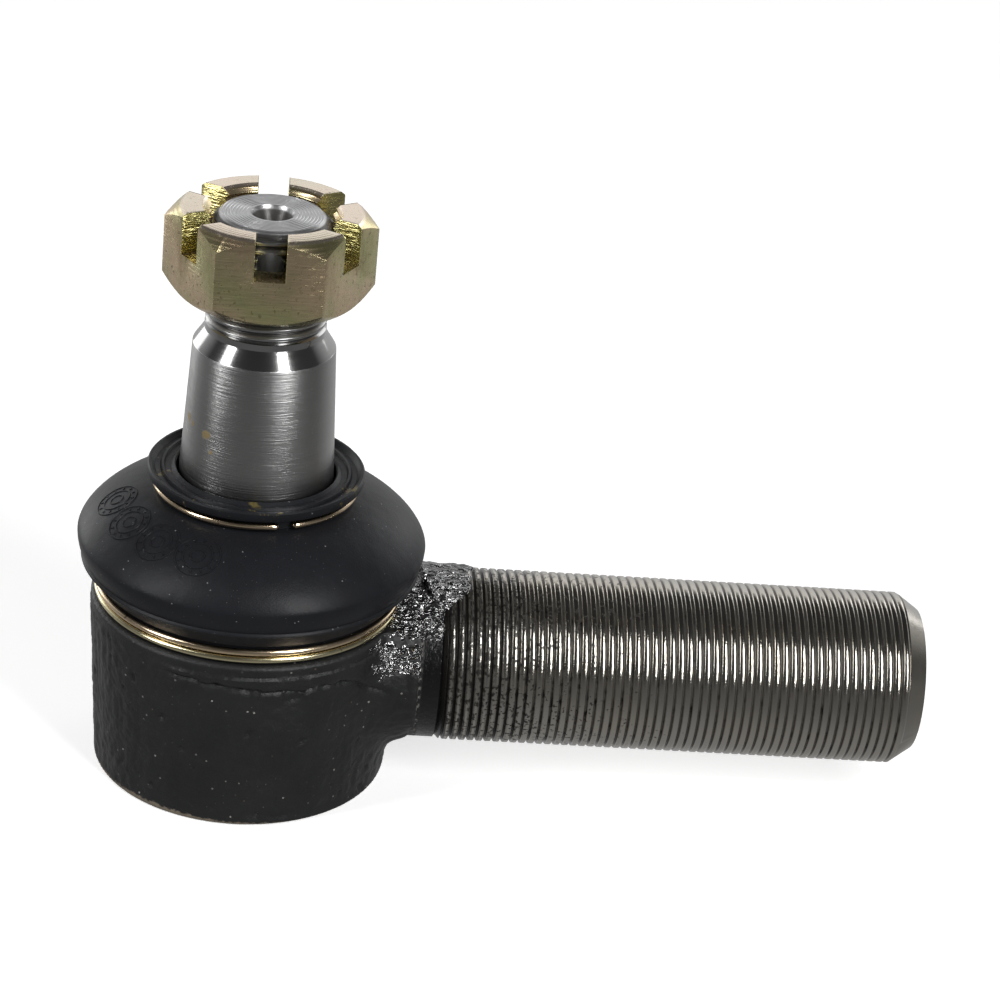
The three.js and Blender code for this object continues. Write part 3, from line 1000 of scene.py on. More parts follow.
@dataclass
class Housing:
    """The forged eye with its neck and bore, and the turned and threaded shank."""

    whole: Extent = field(default_factory=lambda: Extent.of("housing"))
    ring: Extent = field(default_factory=lambda: Extent.of("boot_lower_ring"))
    eye_draft: float = 1.8
    edge: float = 0.7
    clearance: float = 0.3
    groove_radius: float = 22.5
    collar_lip: float = 1.3
    collar_height: float = 1.4
    bore: float = 19.3
    mouth: float = 15.0
    recess: float = 22.2
    recess_height: float = 3.8
    seal_step: float = 21.4
    seal_height: float = 5.6
    rim_overlap: float = 1.8
    rim_thickness: float = 1.2
    neck_oversize: float = 0.5
    neck_reach: float = 2.5
    collar_length: float = 3.7
    collar_undercut: float = 0.3
    shank_radius: float = 15.0
    chamfer_length: float = 3.75
    chamfer_depth: float = 2.6
    centre_radius: float = 2.5
    pitch: float = 1.5
    run_in: float = 2.5
    machined_band: float = 2.3
    voxel: float = 0.42
    fillet_reach: float = 5.0
    fillet_passes: int = 110
    seam_line: tuple[Point, ...] = ((-115, 28.2), (-98, 27.5), (-71, 26.7), (-55, 26.8), (-49, 26.3),
                                    (-39, 23.6), (-25, 20.0))
    seam_ends: tuple[Point, Point] = ((22, 32), (112, 125))
    marks: ForgedMarks = ForgedMarks()
    crust_start: float = 24.0
    crust_height: float = 0.3
    crust_front: Point = (40, 52)
    crust_back: Point = (128, 150)
    tongue_front: Point = (52, 78)
    tongue_back: Point = (112, 130)
    burr_foot: Point = (29.1, 87.0)
    burr_tip: Point = (31.6, 63.0)

    @property
    def eye_radius(self) -> float:
        """Outer radius of the eye at its shoulder."""
        return -self.whole.low.x

    @property
    def shoulder(self) -> float:
        """Height of the shoulder that the boot's ring sits on."""
        return self.ring.low.z - self.clearance

    @property
    def neck_end(self) -> float:
        """Where the forged neck stops along the shank."""
        return self.eye_radius + self.neck_reach

    @property
    def thread_start(self) -> float:
        """Where the shank's thread starts."""
        return self.neck_end + self.collar_length

    @property
    def _thread(self) -> ThreadForm:
        """The shank's thread, with its wide worn lands."""
        return ThreadForm(self.pitch, self.shank_radius, 120, 0.36, 0.56)

    def _eye(self) -> bpy.types.Mesh:
        """The eye's drafted barrel."""
        r, foot = self.eye_radius, self.eye_radius - self.eye_draft
        outline = [(0, 0), (foot, 0), (r, self.shoulder - 1), (r - 0.8, self.shoulder), (0, self.shoulder)]
        return turned(soften(outline, self.edge, 4), 160)

    def _neck(self) -> bpy.types.Mesh:
        """The forged neck with its flare into the eye."""
        radius, end = self.shank_radius + self.neck_oversize, self.neck_end
        flare = [(radius + 6 * (1 - math.cos(a)), end - 1 - 11.1 * math.sin(a))
                 for a in (math.radians(60 * (1 - i / 8)) for i in range(9))]
        mesh = turned([(0, 0), (flare[0][0], 0), *flare, (radius - 0.1, end - 0.3), (radius - 0.8, end),
                       (0, end)], 128, Axis.SHANK)
        for vert in mesh.vertices:
            x, y, z = vert.co / MM
            reach, rise = math.hypot(y, z - BALL_HEIGHT), math.degrees(math.atan2(z - BALL_HEIGHT, -y))
            top = eased(rise, 35, 65) * (1 - eased(rise, 115, 145))
            if reach > self.shank_radius - 1:
                kept = (reach + (self.shank_radius - 0.2 - reach) * top) / reach
                vert.co = Vector((x, y * kept, BALL_HEIGHT + (z - BALL_HEIGHT) * kept)) * MM
        return mesh

    def _burr(self) -> bpy.types.Mesh:
        """The small fin of scale that stands on the neck's crust."""
        ends = []
        for along, rise in (self.burr_foot, self.burr_tip):
            angle, reach = math.radians(rise), self.shank_radius + 0.5
            ends.append(Vector((along, -reach * math.cos(angle), BALL_HEIGHT + reach * math.sin(angle))))
        middle, line = (ends[0] + ends[1]) / 2, ends[1] - ends[0]
        out = Vector((0, middle.y, middle.z - BALL_HEIGHT)).normalized()
        side = line.normalized().cross(out).normalized()
        bm = bmesh.new()
        bmesh.ops.create_uvsphere(bm, u_segments=24, v_segments=16, radius=1.0)
        for vert in bm.verts:
            a, b, c = vert.co
            vert.co = (middle + line * (0.55 * a) + side * (0.55 * b) + out * (1.1 * c)) * MM
        return as_mesh(bm, "burr")

    def _crust(self) -> bpy.types.Mesh:
        """Thick paint and scale that runs over the neck's end and the first turns of thread."""
        inner, outer = self.shank_radius - 2, self.shank_radius + self.crust_height
        outline = [(0, 0), (inner, 0), (inner + 2, 0), (outer, 0.02), *[(outer, i / 10) for i in range(1, 9)],
                   (self.shank_radius + 0.75 * self.crust_height, 0.94), (self.shank_radius + 0.1, 1.0),
                   (0, 1.0)]
        bm = bmesh.new()
        bm.from_mesh(turned(outline, 180))
        for vert in bm.verts:
            x, y, along = vert.co / MM
            reach, turn = math.hypot(x, y), math.degrees(math.atan2(y, x))
            top = eased(turn, *self.crust_front) * (1 - eased(turn, *self.crust_back))
            tongue = eased(turn, *self.tongue_front) * (1 - eased(turn, *self.tongue_back))
            wander = noise.noise(Vector((turn / 9, 3.7, 0))) + 0.6 * noise.noise(Vector((turn / 3.1, 9.1, 0)))
            end = self.neck_end + 3.2 + 4.8 * tongue + 1.3 * wander
            reach = inner + (reach - inner) * top if reach > inner else reach
            angle = math.radians(turn)
            vert.co = Vector((self.crust_start + along * (end - self.crust_start), -reach * math.cos(angle),
                              BALL_HEIGHT + reach * math.sin(angle))) * MM
        bmesh.ops.recalc_face_normals(bm, faces=bm.faces)
        return as_mesh(bm, "crust")

    def _seam(self, turn: float) -> float:
        """Height of the irregular parting seam round the eye, by direction in degrees."""
        height = self.seam_line[-1][1]
        for (here, low), (there, high) in zip(self.seam_line, self.seam_line[1:]):
            if turn < there:
                share = min(max((turn - here) / (there - here), 0.0), 1.0)
                height = low + (high - low) * share
                break
        wander = 0.35 * noise.noise(Vector((turn / 6, 0.3, 5.0)))
        return height + wander + 0.2 * noise.noise(Vector((turn / 2, 8, 0)))

    def _eye_marks(self, place: Vector) -> float:
        """Hammer marks, streaks, the parting seam with its ledge, and chips on the eye's side."""
        marks = self.marks
        turn = math.degrees(math.atan2(place.y, place.x))
        seam = self._seam(turn)
        along = Vector((turn * 0.47, 0, place.z * 0.10))
        skin = (marks.fine * ruffle(place, 1.4, 3) + marks.broad * ruffle(place, 6.0, 2)
                + marks.streaks * ruffle(along, 3.2, 3))
        front, back = self.seam_ends
        fading = 1 - eased(-turn, *back)
        crack = math.exp(-((place.z - seam) / marks.seam_width) ** 2) * eased(-turn, *front) * fading
        crack *= 0.55 + 0.9 * max(0.0, noise.noise(Vector((turn / 5, 2.2, 1.1))))
        ledge = eased(place.z, seam - 0.2, seam + 0.5) * eased(-turn, 24, 36) * fading
        chips = eased(noise.noise(place * 0.45 + Vector((4, 9, 2))), 0.5, 0.66)
        return skin - marks.seam * crack - marks.chips * chips + marks.ledge * ledge - marks.inset

    def _neck_marks(self, place: Vector) -> float:
        """Wrinkled scale on the neck's upper side and a calmer skin below it."""
        marks = self.marks
        upper = eased(math.degrees(math.atan2(place.z - BALL_HEIGHT, -place.y)), 12, 34)
        along = Vector((place.x * 0.45, place.y, place.z))
        wrinkle = marks.ridges * ruffle(place, 3.4, 2, True) + marks.ripples * ruffle(along, 1.1, 2)
        return upper * (wrinkle + marks.proud) + (1 - upper) * marks.neck * ruffle(place, 2.2, 3)

    def _hammer(self, place: Vector) -> float:
        """How far the forging's skin stands out at a place, in millimetres."""
        neck = eased(place.x, 21.0, 25.5)
        edge = self.shoulder - self.machined_band
        band = eased(place.z, edge - 0.25, edge + 0.25)
        foot = eased(place.z, 0.3, 2.0)
        skin = (1 - neck) * self._eye_marks(place) + neck * self._neck_marks(place)
        return (1 - band * (1 - neck)) * foot * skin

    def _in_corner(self, place: Vector) -> bool:
        """Whether a place is where the neck runs into the eye, which has a soft fillet."""
        out = math.hypot(place.x, place.y) - self.eye_radius
        off = math.hypot(place.y, place.z - BALL_HEIGHT) - self.shank_radius - self.neck_oversize
        within = max(abs(out), abs(off)) < self.fillet_reach
        return place.x > 15 and within and 1.2 < place.z < self.shoulder - 3.0

    def _wrinkled(self, place: Vector) -> bool:
        """Whether the paint is thick and wrinkled at a place on the forging."""
        rise = math.degrees(math.atan2(place.z - BALL_HEIGHT, -place.y)) + 6 * noise.noise(place * 0.8)
        along = place.x + 2.4 * noise.noise(place * 0.7 + Vector((5, 1, 8)))
        crust = along > 24.0 and 38 < rise < 150
        patch = 21.8 < along and place.x < self.neck_end and 14 < rise < 34
        return crust or patch

    def _skin(self, blank: bpy.types.Mesh) -> bpy.types.Mesh:
        """Gives the blank its hammered skin and the turned band under the boot's ring."""
        mesh = worked(blank, "REMESH", mode="VOXEL", voxel_size=self.voxel * MM)
        mesh = worked(mesh, "SMOOTH", factor=0.5, iterations=2)
        bm = bmesh.new()
        bm.from_mesh(mesh)
        corner = [v for v in bm.verts if self._in_corner(v.co / MM)]
        for _ in range(self.fillet_passes):
            bmesh.ops.smooth_vert(bm, verts=corner, factor=0.5, use_axis_x=True, use_axis_y=True,
                                  use_axis_z=True)
        bm.normal_update()
        for vert in bm.verts:
            place = vert.co / MM
            place += vert.normal * self._hammer(place)
            reach = math.hypot(place.x, place.y)
            limit = self.eye_radius - 0.35
            if place.z > self.shoulder - self.machined_band and limit < reach and place.x < 0.8 * reach:
                place.x, place.y = place.x * limit / reach, place.y * limit / reach
            vert.co = place * MM
        return as_mesh(bm, "forging")

    def _bore(self) -> bpy.types.Mesh:
        """Everything that is turned out of the eye's middle."""
        top = self.whole.high.z
        climb = math.degrees(math.acos(self.mouth / self.bore))
        opening = self.recess - self.rim_overlap
        return turned([(0, -1), (opening + 0.5, -1), (opening, 0.3), (opening, self.rim_thickness),
                       (self.recess, self.rim_thickness), (self.recess, self.recess_height),
                       (self.seal_step, self.recess_height), (self.seal_step, self.seal_height),
                       (self.bore, self.seal_height), *arc((0, BALL_HEIGHT), self.bore, 0, climb, 16),
                       (self.mouth, top - 2), (self.mouth + 1.4, top), (self.mouth + 1.4, top + 1),
                       (0, top + 1)], 160)

    def _boot_room(self) -> bpy.types.Mesh:
        """The clear space above the shoulder for the boot and its ring."""
        s, r = self.shoulder, self.eye_radius
        above = s + 20
        return turned([(0, s), (r + 0.3, s), (r + 2.6, self.ring.high.z + 3), (r + 2.6, above), (0, above)],
                      160)

    def _boot_seat(self) -> bpy.types.Mesh:
        """The grooved spigot that holds the boot's lip."""
        top, groove = self.whole.high.z, self.groove_radius
        foot = top - self.collar_height
        return turned(soften([(0, 20), (groove, 20), (groove, foot), (groove + self.collar_lip, foot),
                              (groove + self.collar_lip, top), (0, top)], 0.25, 2), 160)

    def _collar(self) -> bpy.types.Mesh:
        """The smooth band between the forged neck and the thread."""
        radius = self.shank_radius - self.collar_undercut
        return turned([(0, 24), (radius, 24), (radius, self.thread_start - 0.3),
                       (radius - 0.6, self.thread_start + 0.1), (0, self.thread_start + 0.1)],
                      128, Axis.SHANK)

    def _shank(self) -> bpy.types.Mesh:
        """The threaded shank, cut from a helix and trimmed by its envelope."""
        end, radius = self.whole.high.x, self.shank_radius
        rod = self._thread.rod(self.thread_start - self.run_in, end + 2 * self.pitch)
        bm = bmesh.new()
        bm.from_mesh(rod)
        bmesh.ops.rotate(bm, verts=bm.verts, cent=(0, 0, 0), matrix=Matrix.Rotation(math.pi / 2, 3, "Y"))
        bmesh.ops.translate(bm, verts=bm.verts, vec=(0, 0, BALL_HEIGHT * MM))
        rod = as_mesh(bm, "rod")
        envelope = turned([(0, self.thread_start - 1.2), (radius - 1.0, self.thread_start - 1.2),
                           (radius - 0.95, self.thread_start - 0.1), (radius + 0.02, self.thread_start + 0.9),
                           (radius + 0.02, end - self.chamfer_length), (radius - self.chamfer_depth, end),
                           (self.centre_radius, end), (0, end - self.centre_radius * math.sqrt(3))],
                          120, Axis.SHANK)
        return combine(rod, Joinery.KEEP, envelope)

    def build(self) -> None:
        """Makes the forging and the shank and rides them on the housing."""
        blank = combine(self._eye(), Joinery.JOIN, self._neck(), self._crust(), self._burr())
        forging = combine(self._skin(blank), Joinery.CUT, self._boot_room())
        forging = combine(forging, Joinery.JOIN, self._boot_seat(), self._collar())
        forging = combine(forging, Joinery.CUT, self._bore())
        ride = Ride("housing", ("housing",), "forged_black")
        eye = ride.put(shaded(forging, 38), "forged_eye", ForgingPaint(self.neck_end).make())
        eye.data.materials.append(WrinkledPaint().make())
        for face in eye.data.polygons:
            face.material_index = int(self._wrinkled(face.center / MM))
        steel = CutThread("shank_thread_steel", self.shank_radius, self._thread.root, self.pitch,
                          self.thread_start - self.run_in, BALL_HEIGHT)
        ride = Ride("housing", ("housing",), "ground_steel")
        ride.put(shaded(self._shank(), 40), "threaded_shank", steel.make())


# ------------------------------------------------------------------ ball stud


@dataclass
class BallStud:
    """Ball, neck, ground cone, polished shoulder and thread, all in one turned piece."""

    whole: Extent = field(default_factory=lambda: Extent.of("ball_stud"))
    flange: Extent = field(default_factory=lambda: Extent.of("dust_boot"))
    nut: Extent = field(default_factory=lambda: Extent.of("castle_nut"))
    neck_radius: float = 8.5
    neck_rise: float = 18.5
    cone_rise: float = 29.0
    cone_top_rise: float = 56.35
    taper: float = 0.1
    thread_radius: float = 10.0
    shoulder_step: float = 1.8
    shoulder_height: float = 2.6
    plain_ring: float = 1.5
    pitch: float = 1.5
    end_chamfer: Point = (1.7, 1.5)
    centre_mouth: float = 3.6
    centre_drill: float = 1.6
    centre_depth: float = 2.5
    cross_hole: float = 2.2
    cross_rise: float = 0.8
    slot_depth: float = 6.8
    grooves: int = 8

    @property
    def cone_top(self) -> float:
        """Height of the cone's small end."""
        return BALL_HEIGHT + self.cone_top_rise

    @property
    def thread_start(self) -> float:
        """Height where the thread starts, above the polished ring."""
        return self.cone_top + self.shoulder_height + self.plain_ring

    def _body(self) -> bpy.types.Mesh:
        """Ball, neck, cone, shoulder and the plain ring."""
        ball = self.whole.high.x
        flat = BALL_HEIGHT - self.whole.low.z
        small = self.thread_radius + self.shoulder_step
        large = small + (self.cone_top_rise - self.cone_rise) * self.taper / 2
        start = -math.degrees(math.asin(flat / ball))
        climb = math.degrees(math.acos(self.neck_radius / ball))
        neck_top, cone_foot = BALL_HEIGHT + self.neck_rise, BALL_HEIGHT + self.cone_rise
        width, height = large - self.neck_radius, cone_foot - neck_top
        flare = [(large - width * math.cos(a), neck_top + height * math.sin(a))
                 for a in (math.radians(90 * i / 12) for i in range(13))]
        ring = self.cone_top + self.shoulder_height
        crisp = [(small + 0.01, self.cone_top - 0.12), (small - 0.05, self.cone_top + 0.02)]
        plain, end = self.thread_radius, self.thread_start + 0.3
        return turned([(0, self.whole.low.z), *arc((0, BALL_HEIGHT), ball, start, climb, 40), *flare, *crisp,
                       (plain + 0.15, ring - 0.15), (plain, ring + 0.1), (plain, end - 0.6),
                       (plain - 0.8, end), (0, end)], 160)

    def _end_face(self) -> list[Point]:
        """The stud's end from the thread's chamfer to the centre hole, with its turning grooves."""
        top, rim = self.whole.high.z, self.thread_radius - self.end_chamfer[0]
        step = (rim - 0.3 - self.centre_mouth) / self.grooves
        points = [(rim + 0.1, top - 0.1), (rim - 0.05, top)]
        for i in range(self.grooves):
            r = rim - 0.15 - i * step
            points += [(r, top), (r - 0.2 * step, top - 0.09), (r - 0.4 * step, top)]
        return points

    def _threaded_end(self) -> bpy.types.Mesh:
        """The threaded length with its chamfered, grooved and centre-drilled end."""
        top, radius = self.whole.high.z, self.thread_radius
        rod = ThreadForm(self.pitch, radius, 96).rod(self.thread_start - 2, top + 2 * self.pitch)
        slope = (self.centre_mouth - self.centre_drill) * math.sqrt(3)
        drilled = slope + self.centre_depth
        foot = self.thread_start - 0.4
        envelope = turned([(0, foot), (radius - 0.9, foot), (radius + 0.01, foot + 0.9),
                           (radius + 0.01, top - self.end_chamfer[1]),
                           *self._end_face(), (self.centre_mouth, top), (self.centre_drill, top - slope),
                           (self.centre_drill, top - drilled), (0, top - drilled - 0.8)], 120)
        return combine(rod, Joinery.KEEP, envelope)

    def build(self) -> None:
        """Makes the stud and rides it on its own body."""
        stud = combine(self._body(), Joinery.JOIN, self._threaded_end())
        height = self.nut.high.z - self.slot_depth + self.cross_rise
        stud = combine(stud, Joinery.CUT, bar(self.cross_hole, 40, Vector((0, 0, height))))
        root = ThreadForm(self.pitch, self.thread_radius).root
        steel = GroundStud(self.flange.high.z, self.cone_top, self.thread_start, self.whole.high.z, root,
                           self.cross_hole, height)
        ride = Ride("ball_stud", ("ball_stud",), "ground_steel")
        ride.put(shaded(stud, 30), "tapered_ball_stud", steel.make())


# ------------------------------------------------------------------ castle nut


@dataclass
class CastleNut:
    """Slotted hexagon nut with chamfered ends and a tapped bore."""

    whole: Extent = field(default_factory=lambda: Extent.of("castle_nut"))
    face_radius: float = 14.5
    chamfer_angle: float = 40.0
    slot_width: float = 5.0
    slot_depth: float = 6.8
    slot_turns: tuple[float, ...] = (30.0, 90.0, 150.0)
    bore_crest: float = 10.75
    bore_relief: float = 1.0
    pitch: float = 1.5
    edge: float = 0.28

    def _blank(self) -> bpy.types.Mesh:
        """The chamfered hexagon with its three crossing slots, edges broken."""
        corner, foot, top = self.whole.high.x, self.whole.low.z, self.whole.high.z
        bm = bmesh.new()
        bmesh.ops.create_cone(bm, cap_ends=True, segments=6, radius1=corner * MM, radius2=corner * MM,
                              depth=(top - foot) * MM)
        sixth = Matrix.Rotation(math.pi / 6, 3, "Z")
        bmesh.ops.rotate(bm, verts=bm.verts, cent=(0, 0, 0), matrix=sixth)
        bmesh.ops.translate(bm, verts=bm.verts, vec=(0, 0, (top + foot) / 2 * MM))
        widest = max(v.co.x for v in bm.verts) / MM
        if widest < corner - 0.1:
            bmesh.ops.rotate(bm, verts=bm.verts, cent=(0, 0, 0), matrix=sixth)
        drop = (corner - self.face_radius) * math.tan(math.radians(self.chamfer_angle))
        envelope = turned([(0, foot), (self.face_radius, foot), (corner + 0.01, foot + drop),
                           (corner + 0.01, top - drop), (self.face_radius, top), (0, top)], 144)
        nut = combine(as_mesh(bm, "hexagon"), Joinery.KEEP, envelope)
        height = self.slot_depth + 2
        for turn in self.slot_turns:
            slot = block(Vector((3 * corner, self.slot_width, height)),
                         Vector((0, 0, top - self.slot_depth + height / 2)), turn)
            nut = combine(nut, Joinery.CUT, slot)
        return nut

    def _tap(self) -> bpy.types.Mesh:
        """The tapped bore as a solid, with the relief at both ends."""
        foot, top, crest = self.whole.low.z, self.whole.high.z, self.bore_crest
        thread = ThreadForm(self.pitch, crest, 96, 0.42)
        rod = thread.rod(foot - 2 * self.pitch, top + 2 * self.pitch)
        wide = crest + self.bore_relief
        root = thread.root - 0.2
        relief = turned([(0, foot - 4), (wide, foot - 4), (wide - 0.2, foot), (root, foot + 1.6),
                         (root, top - 1.2), (wide - 0.4, top), (wide, top + 4), (0, top + 4)], 120)
        return combine(rod, Joinery.JOIN, relief)

    def build(self) -> None:
        """Makes the nut and rides it on its own body."""
        nut = worked(self._blank(), "BEVEL", width=self.edge * MM, segments=2, limit_method="ANGLE",
                     angle_limit=math.radians(24), use_clamp_overlap=True, harden_normals=False)
        nut = combine(nut, Joinery.CUT, self._tap())
        top = self.whole.high.z
        plate = YellowZinc(self.whole.low.z, top, top - self.slot_depth, self.slot_width / 2,
                           self.slot_turns)
        ride = Ride("castle_nut", ("castle_nut",), "yellow_zinc")
        ride.put(shaded(nut, 32), "slotted_nut", plate.make())


# ------------------------------------------------------------------ dust boot


@dataclass
class DustBoot:
    """Moulded rubber boot: lip, skirt, belly, dome, neck groove and flange."""

    whole: Extent = field(default_factory=lambda: Extent.of("dust_boot"))
    lower_ring: Extent = field(default_factory=lambda: Extent.of("boot_lower_ring"))
    lip: float = 24.8
    lip_inner: float = 22.8
    spigot: float = 24.1
    spigot_top: float = 37.4
    crease_inset: float = 1.1
    crease_rise: float = 3.7
    belly_rise: float = 7.8
    dome_height: float = 8.9
    flatness: float = 1.35
    neck: float = 15.8
    bore: float = 13.45
    flange_height: float = 1.6
    wall: float = 2.0
    roundels: tuple[float, ...] = (-172.4, -152.2, -132.2, -112.4)
    roundel_rings: tuple[float, ...] = (1.15, 2.45, 3.75)
    roundel_climb: float = 0.565

    def _dome(self) -> list[Point]:
        """The outer line from the belly up to the neck."""
        belly = self.lower_ring.high.z + 0.3 + self.belly_rise
        points = []
        for i in range(29):
            angle = 0.5 * math.pi * i / 28
            across, up = math.cos(angle) ** self.flatness, math.sin(angle) ** self.flatness
            width = self.whole.high.x - self.neck
            points.append((self.neck + width * across, belly + self.dome_height * up))
        return points

    def _outline(self) -> list[Point]:
        """The whole section as one closed loop."""
        ring, top = self.lower_ring.high.z, self.whole.high.z
        foot, wide = self.whole.low.z, self.whole.high.x
        crease = ring + 0.3 + self.crease_rise
        belly = ring + 0.3 + self.belly_rise
        edge = wide - self.crease_inset
        flange = self.neck + 2.4
        skirt = [(self.lip, foot + 0.2), (self.lip, ring + 0.25), (self.lip + 1.0, ring + 0.55),
                 (edge - 0.7, crease - 0.45), (edge + 0.25, crease - 0.35), (edge + 0.4, crease - 0.15),
                 (edge + 0.35, crease + 0.1), (edge + 0.1, crease + 0.35), (edge + 0.4, crease + 1.1)]
        side = [(wide - 0.28, belly - 1.9), (wide - 0.06, belly - 0.8)]
        dome = self._dome()
        neck = [(self.neck, belly + self.dome_height + 0.4), (self.neck, top - self.flange_height)]
        lip = [(flange - 0.15, top - self.flange_height), (flange, top - self.flange_height + 0.3),
               (flange, top - 0.25), (flange - 0.25, top), (flange - 0.65, top), (flange - 0.85, top - 0.25),
               (flange - 1.3, top - 0.75), (flange - 2.1, top - 0.8), (flange - 2.35, top - 0.35),
               (flange - 2.75, top - 0.3), (flange - 3.0, top - 0.7), (self.bore + 0.9, top - 0.75),
               (self.bore + 0.25, top - 0.2), (self.bore, top - 0.45)]
        inside = [(self.bore, belly + self.dome_height - self.wall)]
        inner = [(max(r - self.wall, self.bore + 0.3), z - self.wall * (1 - i / 14))
                 for i, (r, z) in enumerate(dome[::-2])]
        back = [(edge - self.wall, crease + 1.0), (self.spigot, self.spigot_top), (self.spigot, ring + 0.9),
                (self.lip_inner, ring + 0.9), (self.lip_inner, foot + 0.2), (self.lip_inner + 0.3, foot),
                (self.lip - 0.2, foot)]
        return skirt + side + dome + neck + lip + inside + inner + back

    def _surface(self, climb: float, turn: float) -> tuple[Vector, Vector]:
        """A place on the dome and the way it faces, by share of the dome's line and direction."""
        dome = self._dome()
        spot = min(max(climb, 0.0), 0.999) * (len(dome) - 1)
        i = int(spot)
        (r0, z0), (r1, z1) = dome[i], dome[i + 1]
        r, z = r0 + (r1 - r0) * (spot - i), z0 + (z1 - z0) * (spot - i)
        angle = math.radians(turn)
        out = Vector((math.cos(angle), math.sin(angle), 0))
        length = math.hypot(r1 - r0, z1 - z0)
        facing = out * ((z1 - z0) / length) + Vector((0, 0, 1)) * (-(r1 - r0) / length)
        return out * r + Vector((0, 0, z)), facing

    def _ridge(self, bm: bmesh.types.BMesh, dome: BVHTree, line: Sequence[Vector], closed: bool) -> None:
        """Lays one low moulded ridge along a line on the dome.

        Args:
            bm: The mesh that gets the ridge.
            dome: The dome's faces, in millimetres.
            line: Places near the dome.
            closed: Whether the line ends where it starts.
        """
        loops = []
        count = len(line)
        for i, place in enumerate(line):
            ahead = line[(i + 1) % count] if closed or i + 1 < count else place
            behind = line[i - 1] if closed or i > 0 else place
            spot, facing, _, _ = dome.find_nearest(place)
            across = (ahead - behind).normalized().cross(facing).normalized()
            loops.append([bm.verts.new((spot + across * a + facing * u) * MM)
                          for a, u in ((-0.2, -0.1), (-0.08, 0.14), (0.08, 0.14), (0.2, -0.1))])
        pairs = list(zip(loops, loops[1:] + loops[:1])) if closed else list(zip(loops, loops[1:]))
        for here, there in pairs:
            for k in range(4):
                bm.faces.new((here[k], here[(k + 1) % 4], there[(k + 1) % 4], there[k]))
        if not closed:
            bm.faces.new(loops[0])
            bm.faces.new(loops[-1])

    def _mouldings(self, bm: bmesh.types.BMesh) -> None:
        """Adds the four plain date-clock roundels to the dome."""
        faces = [[v.index for v in f.verts] for f in bm.faces]
        near = BVHTree.FromPolygons([v.co / MM for v in bm.verts], faces)
        for turn in self.roundels:
            centre, facing = self._surface(self.roundel_climb, turn)
            right = Vector((0, 0, 1)).cross(facing).normalized()
            up = facing.cross(right)
            for radius in self.roundel_rings:
                circle = [centre + (right * math.cos(a) + up * math.sin(a)) * radius
                          for a in (math.tau * i / 48 for i in range(48))]
                self._ridge(bm, near, circle, True)
            for i in range(12):
                spoke = right * math.cos(math.tau * i / 12) + up * math.sin(math.tau * i / 12)
                self._ridge(bm, near, [centre + spoke * r for r in (2.85, 3.1, 3.35)], False)

    def build(self) -> None:
        """Makes the boot and puts it in the scene in place of the frame's boot."""
        bm = bmesh.new()
        outline = self._outline()
        bmesh.ops.spin(bm, geom=chain(bm, [*outline, outline[0]]), cent=(0, 0, 0), axis=(0, 0, 1),
                       angle=math.tau, steps=192, use_merge=True)
        tidy(bm)
        bm.verts.index_update()
        self._mouldings(bm)
        bmesh.ops.recalc_face_normals(bm, faces=bm.faces)
        mesh = shaded(as_mesh(bm, "moulded_boot"), 42)
        mesh.materials.append(BootRubber(self.whole.high.z).make())
        boot = placed(mesh, "moulded_boot")
        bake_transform(boot)
        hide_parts("dust_boot")
        log.info("moulded_boot: %d faces", len(mesh.polygons))


# ------------------------------------------------------------------ wire rings


